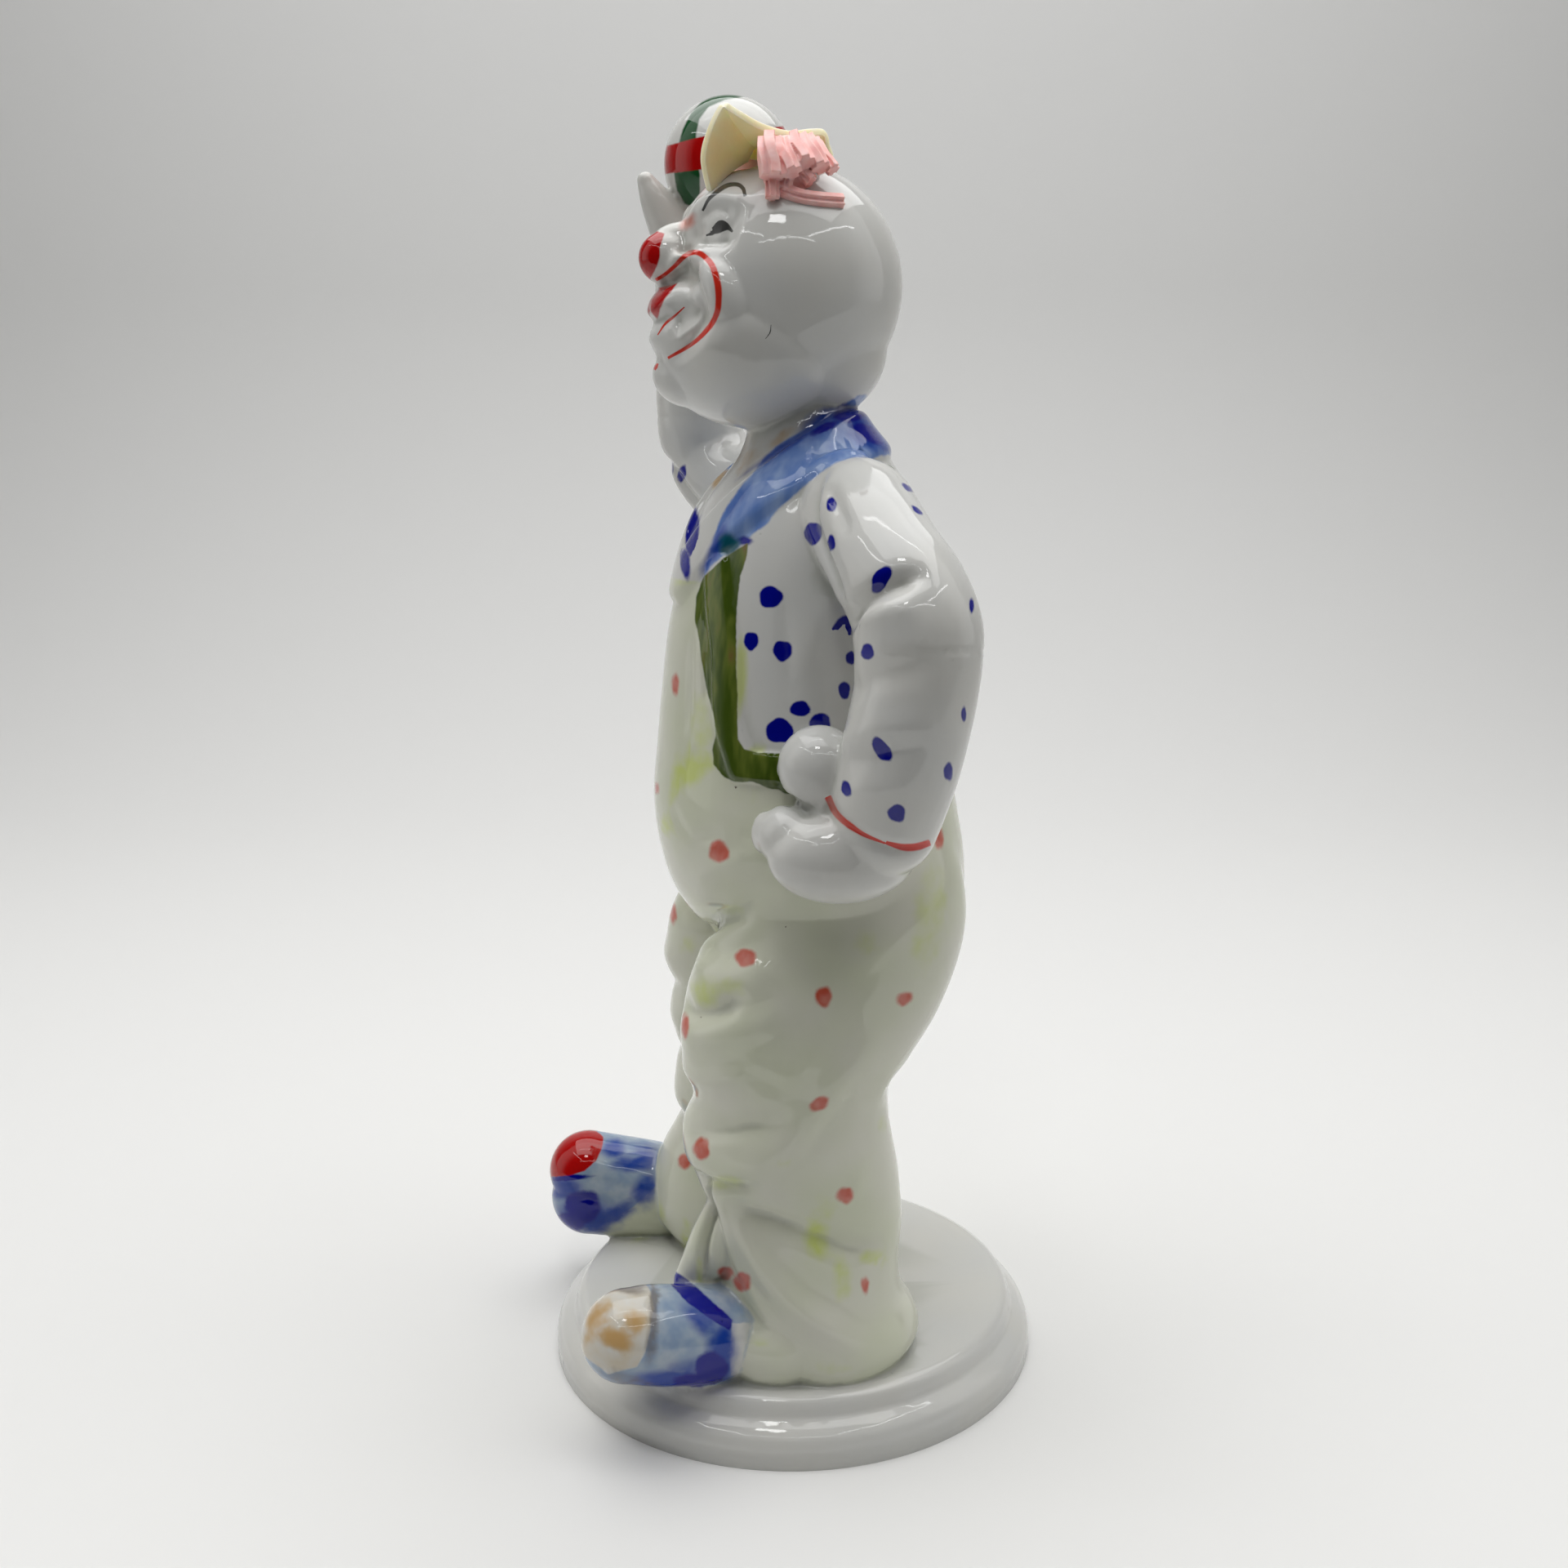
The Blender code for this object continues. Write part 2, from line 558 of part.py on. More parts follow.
def make_figure(collection):
    masses = [
        base_mass(collection),
        level_ovals("trunk", TRUNK, collection),
        level_ovals("left_leg", LEFT_LEG, collection),
        level_ovals("right_leg", RIGHT_LEG, collection),
    ]
    for rows in TUBES:
        masses.append(tube("tube", rows, collection))
    for x, y, z, radius in [rows[0] for rows in TUBES] + [rows[-1] for rows in TUBES]:
        masses.append(rounded_mass("end", x, y, z, radius, radius, radius, collection))
    for sizes in MASSES:
        masses.append(rounded_mass("mass", *sizes, collection))
    figure = fused("figure", masses, collection, GRAIN, SOFTNESS)
    work_surface(outer_skin(figure))
    thinned(figure, FIGURE_FACES)
    cut_flat(figure)
    return figure


def swollen(obj, gap, collection):
    """A cutter: a copy of the object that is larger by the gap all over."""
    mesh = obj.data.copy()
    set_points(mesh, points_of(mesh) + normals_of(mesh) * gap)
    cutter = link(obj.name + "_cutter", mesh, collection)
    cutter.hide_render = True
    cutter.display_type = "WIRE"
    return cutter


def cut_by(obj, cutters):
    for cutter in cutters:
        cut = obj.modifiers.new("cut", "BOOLEAN")
        cut.operation = "DIFFERENCE"
        cut.solver = "EXACT"
        cut.object = cutter
    return applied(obj)


def make_hat(collection, rings=7, steps=3):
    """A thin sheet from its middle to the rim, with a low crown, turned up at the sides."""
    rim = curved_rows(HAT_RIM + HAT_RIM[:1], steps)[:-1]
    middle = np.array(HAT_MIDDLE)
    bm = bmesh.new()
    centre = bm.verts.new(place(*(middle + (0, 0, CROWN_HEIGHT))))
    loops = []
    for ring in range(1, rings + 1):
        share = ring / rings
        crown = max(0.0, 1 - (share / CROWN_SHARE) ** 4)
        loop = []
        for edge in rim:
            point = middle + (edge - middle) * share
            point[2] = middle[2] + (edge[2] - middle[2]) * share**2 + CROWN_HEIGHT * crown
            loop.append(bm.verts.new(place(*point)))
        loops.append(loop)
    for i, corner in enumerate(loops[0]):
        bm.faces.new((centre, corner, loops[0][(i + 1) % len(rim)]))
    for inner, outer in zip(loops, loops[1:]):
        for i, corner in enumerate(inner):
            j = (i + 1) % len(inner)
            bm.faces.new((corner, outer[i], outer[j], inner[j]))
    bmesh.ops.recalc_face_normals(bm, faces=bm.faces)
    mesh = bpy.data.meshes.new("hat")
    bm.to_mesh(mesh)
    bm.free()
    hat = link("hat", mesh, collection)
    shell = hat.modifiers.new("thickness", "SOLIDIFY")
    shell.thickness = HAT_THICKNESS
    shell.offset = 0.0
    return applied(hat)


def cross_section(share):
    """The corners of a strand's section: a cross of two ribs."""
    near, far = RIB_WIDTH / 2, STRAND_WIDTH / 2
    corners = [(near, near), (near, far), (-near, far), (-near, near), (-far, near), (-far, -near)]
    corners += [(-a, -b) for a, b in corners]
    return [Vector((a * share, b * share, 0)) for a, b in corners]


def strand(share, turned, path, side, collection):
    """One strand of pressed clay."""
    points = [place(side * x, y, z) for x, y, z in path]
    spin = Quaternion((0, 0, 1), math.radians(turned))
    rings = []
    for i, point in enumerate(points):
        along = points[min(i + 1, len(points) - 1)] - points[max(i - 1, 0)]
        turn = along.to_track_quat("Z", "Y") @ spin
        rings.append([point + turn @ corner for corner in cross_section(share)])
    return solid_through("strand", rings, collection)


def make_tuft(name, side, collection):
    """A tuft of strands that hang from their roots under the hat's brim."""
    masses = [rounded_mass("root", side * x, *rest, collection) for x, *rest in TUFT_ROOTS]
    masses += [strand(*sizes, side, collection) for sizes in STRANDS]
    return thinned(fused(name, masses, collection, HAIR_GRAIN, HAIR_SOFTNESS), HAIR_FACES)


def main():
    for obj in list(bpy.data.objects):
        bpy.data.objects.remove(obj)
    parts = bpy.data.collections.new("clown_figurine")
    cutters = bpy.data.collections.new("cutters")
    bpy.context.scene.collection.children.link(parts)
    bpy.context.scene.collection.children.link(cutters)

    glaze = material("glazed_porcelain", GLAZE_WHITE, 0.12)
    yellow = material("yellow_clay", HAT_YELLOW, 0.4)
    pink = material("pink_clay", HAIR_PINK, 0.5)

    figure = shaded(make_figure(parts), glaze, GLAZE_CORNER)
    head_cutter = swollen(figure, FIT_GAP, cutters)
    hat = cut_by(make_hat(parts), [head_cutter])
    shaded(hat, yellow, GLAZE_CORNER)
    hat_cutter = swollen(hat, FIT_GAP, cutters)
    for name, side in (("hair_left", 1), ("hair_right", -1)):
        tuft = cut_by(make_tuft(name, side, parts), [head_cutter, hat_cutter])
        shaded(outer_skin(tuft), pink, CLAY_CORNER)


main()
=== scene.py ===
"""The looks of the clown figurine: painted, glazed porcelain with a clay hat and clay hair.

The cast figure, the hat and the tufts are drawn from the same forms as the part's solids, which
they stand for, and worked out more finely. The figure's own units run from the base's top face to
the top of the ball. What is painted on the porcelain is kept on its mesh as distances from each
painted edge, and the pixels given are those of the 1920 x 1920 photograph, cast from its camera.
"""

import math

import bmesh
import bpy
import numpy as np
from mathutils import Matrix, Quaternion, Vector
from mathutils.bvhtree import BVHTree


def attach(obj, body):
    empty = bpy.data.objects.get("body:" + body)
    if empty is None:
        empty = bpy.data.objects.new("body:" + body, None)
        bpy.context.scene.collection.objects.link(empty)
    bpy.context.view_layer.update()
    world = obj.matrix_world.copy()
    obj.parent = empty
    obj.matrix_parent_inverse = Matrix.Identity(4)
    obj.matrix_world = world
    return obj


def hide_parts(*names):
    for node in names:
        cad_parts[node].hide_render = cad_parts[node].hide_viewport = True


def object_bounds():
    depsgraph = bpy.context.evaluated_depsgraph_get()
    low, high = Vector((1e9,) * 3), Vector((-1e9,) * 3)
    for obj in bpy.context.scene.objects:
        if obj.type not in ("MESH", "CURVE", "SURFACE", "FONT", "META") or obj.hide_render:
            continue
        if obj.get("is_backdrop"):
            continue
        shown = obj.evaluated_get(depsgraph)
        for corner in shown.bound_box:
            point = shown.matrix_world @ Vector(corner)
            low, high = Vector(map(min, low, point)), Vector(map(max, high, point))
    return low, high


MM = 0.001

# The photo's camera: how it stands to the middle of the base, and its frame
PHOTO_SIDE = 1920  # pixels
AZIMUTH = math.radians(76.0)
TILT = math.radians(12.5)
CAMERA_REACH = 244.0 * MM
CAMERA_ASIDE = 1.6 * MM
CAMERA_HEIGHT = 150.0 * MM
FILM = 36.0  # sensor and lens, which give a focal length of one frame's width
OUTWARD = np.array((math.sin(AZIMUTH), -math.cos(AZIMUTH), 0.0))
RIGHT = np.array((math.cos(AZIMUTH), math.sin(AZIMUTH), 0.0))
FORWARD = -OUTWARD * math.cos(TILT) - np.array((0, 0, math.sin(TILT)))
UP = np.cross(RIGHT, FORWARD)
EYE = OUTWARD * CAMERA_REACH - RIGHT * CAMERA_ASIDE + np.array((0, 0, CAMERA_HEIGHT))

# The base, real sizes
BASE_LENGTH = 77.6 * MM  # along X, at the foot
BASE_WIDTH = 80.4 * MM  # along Y, at the foot
BASE_HEIGHT = 9.5 * MM
STEP_HEIGHT = 6.6 * MM  # from the underside to the groove between the two tiers
STEP_INSET = 3.2 * MM  # how far the upper tier stands back from the foot
EDGE_ROUND = 1.8 * MM  # rounding of each tier's edge
BELOW_BASE = 4.0 * MM  # how far the base's mass reaches below the underside before it is cut flat

# The figure is drawn in parts of its own height, from the base's top face to the top of the ball
FIGURE_HEIGHT = 194.0 * MM
PARTS_TALL = 194.0
PART = FIGURE_HEIGHT / PARTS_TALL

# The stuck-on pieces, real sizes
HAT_THICKNESS = 1.0 * MM
STRAND_WIDTH = 3.3 * MM
RIB_WIDTH = 1.5 * MM  # of the ribs that a strand is pressed with

# How fine the clay is worked
GRAIN = 0.42 * MM  # size of the cells in which the masses are fused
SOFTNESS = 0.85 * MM  # how far the glaze rounds a corner
FIGURE_FACES = 190000

# Trunk and legs, as level ovals: height, middle x, front y, back y, half width
TRUNK = (
    (56, 0, -6, 19, 13),
    (62, 1, -13, 24.8, 20.5),
    (70, 1, -19, 26.7, 25.8),
    (77, 1, -21.4, 26.5, 27),
    (85, 0.5, -22.3, 25.3, 26),
    (93, 0, -21.6, 23.8, 24.5),
    (102, 0, -20.7, 22.3, 23.5),
    (111, 0, -19.6, 21.3, 22.5),
    (119, 0, -17.8, 20.5, 22),
    (126, 0, -15.6, 19.8, 21),
    (132, 0, -12.5, 17.5, 18.5),
    (137.4, 0, -8.5, 14.3, 14),
    (141.5, 0, -7, 11, 10.5),
    (146, 0, -6.5, 8, 8.4),
)
LEFT_LEG = (
    (81, 11.6, -11, 22, 14.2),
    (74.5, 12.6, -13.5, 23.4, 14.8),
    (68, 13.4, -15.5, 23.8, 15),
    (61.5, 14.4, -19.2, 22.3, 15),
    (54, 15.5, -21.4, 18.8, 14.5),
    (47.5, 16.2, -21.2, 14.2, 14.0),
    (42, 16.6, -19.8, 10.9, 13.4),
    (38, 16.8, -21.4, 10.6, 13.6),
    (33.5, 17, -21.5, 11.3, 13.8),
    (29.3, 17.2, -19.9, 12.1, 13.2),
    (25.3, 17.3, -18.2, 12.5, 12.8),
    (21, 17.6, -17.7, 12.8, 13.0),
    (14.5, 18, -17, 12.2, 13.4),
    (9.5, 18.2, -16.5, 12.6, 14.2),
    (5.5, 18.3, -16, 14.8, 15.2),
    (2.6, 18.3, -15, 15.4, 15.4),
    (0, 18.3, -13.5, 13.6, 14.2),
    (-3, 18.3, -12, 12, 13),
)
RIGHT_LEG = (
    (81, -11.6, -11, 22, 14.2),
    (74.5, -12.6, -13, 23.4, 14.8),
    (68, -13.4, -15, 23.8, 15),
    (61, -14.4, -17.8, 22, 14.8),
    (53.5, -15.5, -18, 18.4, 13.8),
    (47.5, -16, -17.5, 14, 13.2),
    (40.5, -16.5, -16.8, 11, 12.7),
    (34.5, -17, -16.5, 11, 12.6),
    (28.5, -17.4, -17, 11.5, 12.6),
    (22.5, -17.7, -16.5, 12, 12.6),
    (17.5, -18, -19.0, 12.5, 13),
    (11.5, -18.3, -20.6, 13.4, 14),
    (5.5, -18.4, -20.5, 15.6, 15.2),
    (2.6, -18.4, -19, 15.8, 15.2),
    (0, -18.4, -17, 13.6, 14),
    (-3, -18.4, -15, 12, 13),
)

# Sleeves, thumbs, flaps and shoes, as tubes: x, y, z and radius along the middle line
LEFT_SLEEVE = (
    (11, 4.6, 128.5, 8.6),
    (18, 4.8, 129.3, 8.4),
    (23.5, 5, 127, 8.2),
    (28.6, 5.8, 123.5, 8.2),
    (33, 7.2, 119.4, 8.6),
    (36, 8, 114.5, 8.9),
    (36.6, 7.8, 109, 8.7),
    (36.4, 7, 103, 8.5),
    (35.8, 6, 97, 8.3),
    (34.8, 4.8, 91.6, 8.1),
    (34, 4, 88.2, 7.9),
)
RIGHT_SLEEVE = (
    (-12, 3, 128, 8.8),
    (-20, 0.4, 130.5, 8.2),
    (-26.5, -4, 132.6, 7.6),
    (-30.5, -7, 137, 7.3),
    (-31, -8.8, 142.5, 7.0),
    (-30.5, -9.2, 150, 6.7),
    (-29.8, -9.6, 158, 6.3),
    (-29, -10, 166, 6.1),
)
LEFT_THUMB = (
    (31, 0, 86, 4.6),
    (29.6, -2, 90.6, 5),
    (28.4, -3.6, 95.2, 5.9),
)
RIGHT_THUMB = (
    (-28, -11.5, 170.5, 4.6),
    (-27.5, -14.2, 174.4, 3.5),
    (-27.1, -16.5, 178.2, 2.4),
    (-27, -17.7, 180.4, 1.5),
)
RIGHT_FINGERS = (
    (-30, -6, 172, 3.6),
    (-32, 0, 175.5, 3.2),
    (-33, 4, 180, 2.7),
    (-32.6, 5.6, 184, 2.0),
)
HEM_FLAP = (
    (18.5, -14, 25, 4.0),
    (18.6, -17.5, 18, 4.2),
    (18.2, -21.4, 12.6, 2.4),
)
LEFT_SHOE = (
    (25.2, -32.2, 8.8, 6.9),
    (25.2, -29.2, 8.5, 7.3),
    (24.6, -25, 7.5, 7.4),
    (23.4, -19, 6.1, 7.2),
    (21, -12, 5.6, 6.6),
)
RIGHT_SHOE = (
    (-26.2, -31.6, 11.2, 6.9),
    (-25.6, -27, 9.8, 7.2),
    (-24.2, -21, 8.4, 7.4),
    (-21.6, -14, 7, 7.2),
)
RIGHT_SOLE = (
    (-26, -31.4, 6.2, 6.9),
    (-25.2, -26, 5.6, 7),
    (-23.6, -19, 5.4, 7.0),
)
TUBES = (
    LEFT_SLEEVE, RIGHT_SLEEVE, LEFT_THUMB, RIGHT_THUMB, RIGHT_FINGERS, HEM_FLAP, LEFT_SHOE,
    RIGHT_SHOE, RIGHT_SOLE,
)

# Rounded masses: x, y, z and the three half sizes
HEAD = (
    (0.8, -1.2, 162, 16.4, 17.0, 17.5),  # skull
    (0, -7, 163.8, 14.2, 11.2, 14.6),  # forehead
    (0.5, -6.2, 153.8, 14.6, 15.3, 12.3),  # jaw
    (0.5, 2, 153.5, 12.5, 11.8, 11),  # nape
    (8.4, -11.4, 159.5, 5.8, 6, 6.5),  # cheeks
    (-8.4, -11.4, 159.5, 5.8, 6, 6.5),
    (0, -13.8, 157, 9.5, 8.2, 8),  # round the mouth
    (0, -15.8, 149.6, 6.5, 5.8, 5),  # chin
    (0, -16, 168.4, 2.9, 5.2, 2.6),  # bridge of the nose
    (0, -18.9, 165.8, 3.9, 4.5, 3.9),  # nose and its wings
    (3, -17, 165, 2.4, 3, 2.4),
    (-3, -17, 165, 2.4, 3, 2.4),
)
HAND_ON_HIP = (
    (31.5, -1.0, 83.2, 7.7, 10.8, 7.0),
    (29, -7.9, 85.6, 5.0, 4.8, 4.5),
    (26.8, -10.8, 85.6, 2.6, 2.3, 3.2),
)
RAISED_HAND = (
    (-28.6, -9.6, 171, 5.6, 6.0, 5.0),
    (-29, -5, 173, 5.6, 6.2, 4.4),
)
BALL = (-28, -3.8, 183.4, 10.6, 10.6, 10.6)
HEMS = (
    (24, -8.5, 4.5, 8.2, 9.4, 7.0),
    (-22.6, -9.5, 5.5, 7.6, 9.4, 7.0),
)
MASSES = (*HEAD, *HAND_ON_HIP, *RAISED_HAND, BALL, *HEMS)

# The hat's rim, as points round it, from over the left brow past the left side to the back
HAT_RIM = (
    (5.6, -14.0, 174.4), (7.0, -15.1, 178.4), (8.2, -14.5, 181.8), (8.8, -13.2, 184.6),
    (9.0, -12.4, 185.3), (9.1, -11.2, 184.7), (9.2, -7.4, 182.8), (9.2, -3.4, 181.9),
    (8.7, 0.4, 182.4), (8.0, 2.3, 182.4), (7.0, 3.2, 180.8), (3.4, 4.8, 179.8), (-1.5, 5.4, 180.2),
    (-6.4, 4.4, 181.4), (-9.4, -3.6, 182.4), (-8.4, -10, 182.6), (-4.6, -11.8, 179),
    (1, -12.7, 177),
)
HAT_MIDDLE = (0.4, -3.4, 180.5)
CROWN_HEIGHT = 2.6
CROWN_SHARE = 0.42  # how far out the crown reaches, as a share of the way to the rim

# The left tuft: its roots (middle and half sizes), then each strand: how wide it is as a share of the
# full width, its turn in degrees, and where it runs from the root to its tip
TUFT_ROOTS = (
    (9.0, -2.7, 179.0, 2.6, 4.8, 2.8),
    (11.3, -3.6, 175.8, 1.9, 3.3, 3.2),
)
STRANDS = (
    (1.0, 0, ((10.3, -6.3, 180.7), (12.7, -6.9, 178.6), (14.0, -6.8, 175.3))),
    (0.8, 45, ((10.4, -4.4, 180.4), (13.0, -4.5, 178.2), (14.7, -4.0, 175.9))),
    (0.85, 20, ((9.7, -2.4, 181.2), (12.4, -2.7, 179.2), (14.5, -2.2, 177.2))),
    (0.8, 40, ((9.6, -0.9, 181.2), (12.2, -0.6, 179.1), (13.9, 0.2, 176.8))),
    (0.62, 10, ((9.4, 0.5, 180.9), (11.8, 1.1, 178.6), (13.2, 2.2, 176.7))),
    (0.6, 0, ((12.0, -6.3, 177.0), (13.0, -6.6, 174.8), (13.7, -6.7, 172.6))),
    (0.5, 30, ((12.4, -4.0, 177.0), (12.9, -4.3, 175.2), (13.3, -4.6, 173.6))),
    (0.6, 45, ((11.6, -3.0, 177.6), (12.8, -2.0, 176.2), (13.6, -1.1, 175.0))),
    (0.66, 45, ((12.2, -6.0, 174.4), (13.5, -2.9, 173.0), (13.8, 0.2, 172.6), (13.2, 3.4, 172.6))),
)

# What is pressed into the soft clay and what stands up from it. Each line gives the height (below
# the surface when negative), the reach to each side and the points that it runs through.
FOLDS = (
    (-1.4, 2.0, ((-3, -15, 62), (5, -15.5, 64), (13, -16, 69), (18.5, -13.5, 72), (25, -8, 77))),
    (-1.1, 2.2, ((3, -15, 61), (-7, -15, 64), (-16, -13, 68), (-28, -2, 79))),
    (0.5, 2.2, ((10, -16, 63), (14.5, -16, 66), (18, -14, 68.5), (23.5, -8.5, 73.5))),
    (-1.4, 1.5, ((19, -2, 140), (20.5, -3.5, 134), (22.5, -4, 129), (27, -3, 124), (33, -1.6, 117.5))),
    (-1.2, 1.7, ((11, -20, 56.5), (18, -20, 56.5), (23, -17, 58.5), (25.5, -13.5, 62))),
    (0.9, 3.0, ((12, -19, 63), (18, -18, 63), (23, -15, 62.5), (27, -8, 66))),
    (0.6, 2.5, ((14, -21, 53), (21, -19, 53.5), (27, -13, 57), (30, -6, 61))),
    (0.7, 3.0, ((30, 8, 56), (31, -4, 44), (30, -10, 38), (24, -17.5, 32))),
    (-0.8, 1.5, ((15, -21, 37), (20, -20, 38), (25, -15.5, 40), (28, -9, 43))),
    (-1.2, 1.4, ((15, -21, 29), (21, -20.5, 30), (26, -17.5, 31), (29.5, -12, 33))),
    (-1.0, 0.9, ((21.5, -19.5, 31), (21.5, -19.5, 25), (21.5, -19.5, 19), (22, -19, 12))),
    (1.2, 2.4, ((24, -19, 31), (26, -16, 24), (28.5, -12, 18), (31, -6, 12), (33, 4, 5))),
    (
        -1.1,
        1.7,
        ((26, -19, 30), (29, -15.9, 26.9), (30, -11, 26.3), (30, -5.4, 24.6), (30, 1, 21.1), (28, 8, 19)),
    ),
    (-1.6, 1.5, ((30, -1, 115), (34, -2, 116.5), (38.5, 0, 120), (42.5, 4, 123.5), (43, 8, 125))),
    (-0.7, 2.0, ((44, 8, 111.5), (42, 1, 110), (38, -1, 108), (33, 1, 106))),
    (0.5, 2.0, ((44, 8, 104), (42, 1, 103), (38, -1.5, 101), (33, 1, 100))),
    (-0.6, 1.1, ((31, -4, 92), (33.5, -3.5, 91), (40, -0.5, 87.8), (41.8, 4, 86), (40, 9, 85.8))),
    (-0.8, 1.0, ((23, -7, 92.5), (26.5, -6.5, 91.5), (30, -4.5, 90.8), (33, -3.5, 91))),
    (-0.9, 2.2, ((2, 11, 45), (8, 13, 43.5), (16, 13, 43), (26, 8, 45))),
    (-0.9, 2.2, ((-2, 11, 45), (-8, 12, 43.5), (-16, 12, 43), (-27, 8, 45))),
    (-1.6, 2.2, ((0, 27, 84), (0, 27, 76), (0, 25, 68), (0, 20, 60))),
    (0.7, 2.6, ((-6, -17, 56), (-15, -18.5, 54.5), (-24, -13, 55), (-29, -5, 58))),
    (-0.8, 2.0, ((-6, -16, 50), (-16, -17, 49), (-26, -10, 50), (-30, 0, 53))),
    (0.6, 2.4, ((-6, -16, 44), (-16, -17.5, 43), (-26, -10, 44), (-30, 0, 47))),
    (-0.8, 1.8, ((-7, -15, 37), (-16, -16.5, 36.5), (-26, -10, 37.5), (-30, 0, 40))),
    (-0.9, 1.8, ((-9, -16, 25), (-17, -17, 24), (-26, -11, 25.5), (-31, 0, 28))),
    (-1.0, 1.6, ((-20, -8, 125), (-26, -11, 131), (-31, -11, 137), (-37, -6, 141))),
)
# Creases and ridges of the face, given for its left half
FEATURES = (
    (-1.3, 2.5, ((3, -18, 168), (6.5, -15.8, 168.6), (9.5, -14, 169), (13, -11, 168.6))),
    (0.6, 1.9, ((2, -17, 171), (4.5, -15.8, 172.6), (8, -13.6, 174), (13, -9, 172.6))),
    (0.8, 2.8, ((5, -18, 165), (9, -16, 164), (12.4, -13.5, 160.5), (13, -13, 155), (9, -17, 150))),
    (
        -1.2,
        1.5,
        ((3, -20, 163.5), (7.6, -17.6, 163), (10.4, -15.8, 159.5), (9.8, -16.4, 155), (5, -19, 151)),
    ),
    (0.3, 1.3, ((-3, -21, 159.3), (0, -21.5, 159.6), (3, -20.8, 159.4), (7, -18.6, 160.6))),
    (
        -0.8,
        1.2,
        ((-3, -21, 157), (0, -21.5, 156.8), (3, -21, 157), (6.5, -18.6, 157.2), (9.6, -16.6, 158.4)),
    ),
    (-1.1, 2.2, ((5.5, -19.5, 156), (8, -18, 156.6), (9.8, -17, 157.6), (10.6, -16.4, 159.4))),
    (0.4, 1.3, ((-3, -20.4, 154.4), (0, -21, 154.4), (3, -20.4, 154.6), (7, -18.4, 156.4))),
    (-0.35, 1.5, ((-5, -19, 152), (0, -21, 152), (5, -19, 152))),
)
# The collar, the braces and the belt are flat bands that stand up, given for the left side
COLLAR_BAND = (
    1.2,
    4.2,
    ((0, 12.5, 140.5), (11, 5, 139), (13, -3, 135.5), (10, -11, 129.5), (1.5, -17.5, 120)),
)
BRACE_BAND = (
    0.7,
    2.5,
    ((11, -15, 122), (13.5, -15, 116), (16, -15, 110), (17.5, -15, 101), (20, -13.5, 94.5)),
)
BELT_BAND = (
    0.7,
    2.3,
    ((20, -13.5, 94), (24, -6, 94), (25.5, 3, 95), (21, 14, 96), (11, 21, 97), (0, 24, 97.5)),
)
BACK_BAND = (
    0.7,
    2.3,
    ((8, 22, 98), (9, 22, 112), (11, 18, 125), (12, 11, 134)),
)
BANDS = (COLLAR_BAND, BRACE_BAND, BELT_BAND, BACK_BAND)
FOLD_FADE = 0.22  # share of a fold's length over which each of its ends dies away
BAND_EDGE = 8  # how steep a band's edges are

# Finer work, as the folds are given
FINE_FOLDS = (
    (-0.7, 0.7, ((21.5, -19.5, 33), (21.5, -19.5, 25), (21.5, -19.5, 19), (22, -19, 12))),
    (0.5, 1.2, ((22.6, -18.5, 30), (23.4, -17.5, 25), (24.6, -16, 20), (27, -13, 14), (30, -8, 7))),
    (0.4, 1.6, ((10, -21, 47), (17, -21.5, 46.5), (24, -17, 48), (28, -11, 52))),
    (-0.25, 1.4, ((24, -17, 52), (27, -12, 49), (29, -6, 46), (30, 0, 44))),
    (0.25, 2.4, ((30, -2, 56), (29.5, -7, 50), (27, -13, 43), (24, -17, 39))),
    (-0.35, 1.8, ((31, 4, 50), (31, -2, 42), (29, -9, 35), (26, -14, 31))),
    (0.4, 2.0, ((31, 6, 36), (31.5, 2, 30), (31.5, -4, 26), (30, -9, 24))),
    (-0.5, 1.4, ((14, -18.5, 71), (20, -15, 75), (26, -8, 80))),
    (0.4, 1.4, ((12, -20, 74), (18, -17.5, 78), (24, -11, 82))),
    (-0.35, 1.2, ((8, -22.5, 86), (14, -21, 82), (20, -16.5, 84))),
    (-0.3, 0.8, ((9, -20, 112), (10.5, -20, 104), (11, -20.5, 97))),
    (-0.25, 0.8, ((12.5, -17.5, 110), (14, -17.5, 102))),
    (0.35, 2.2, ((25, 18, 74), (28, 10, 70), (30, 2, 66), (30.5, -5, 62))),
    (0.5, 1.8, ((44, 6, 119), (41, 0, 118), (36.5, -2, 116.5))),
    (-0.4, 1.2, ((44, 6, 101), (41.5, 0, 99), (37, -2, 98))),
    (0.35, 1.6, ((44, 6, 96), (41.5, 0, 94.5), (37, -2, 94))),
    (-0.4, 1.1, ((24, -6, 138), (28, -3, 133), (32, 0, 127))),
    (-0.3, 1.2, ((22, -8, 120), (24, -8, 112), (25, -7, 104))),
    (0.4, 2.2, ((24, 2, 122), (25.5, -3, 114), (25, -6, 106))),
    (-0.5, 0.8, ((23.2, -14, 83.5), (24.6, -13.4, 86), (25.4, -12.6, 89))),
)
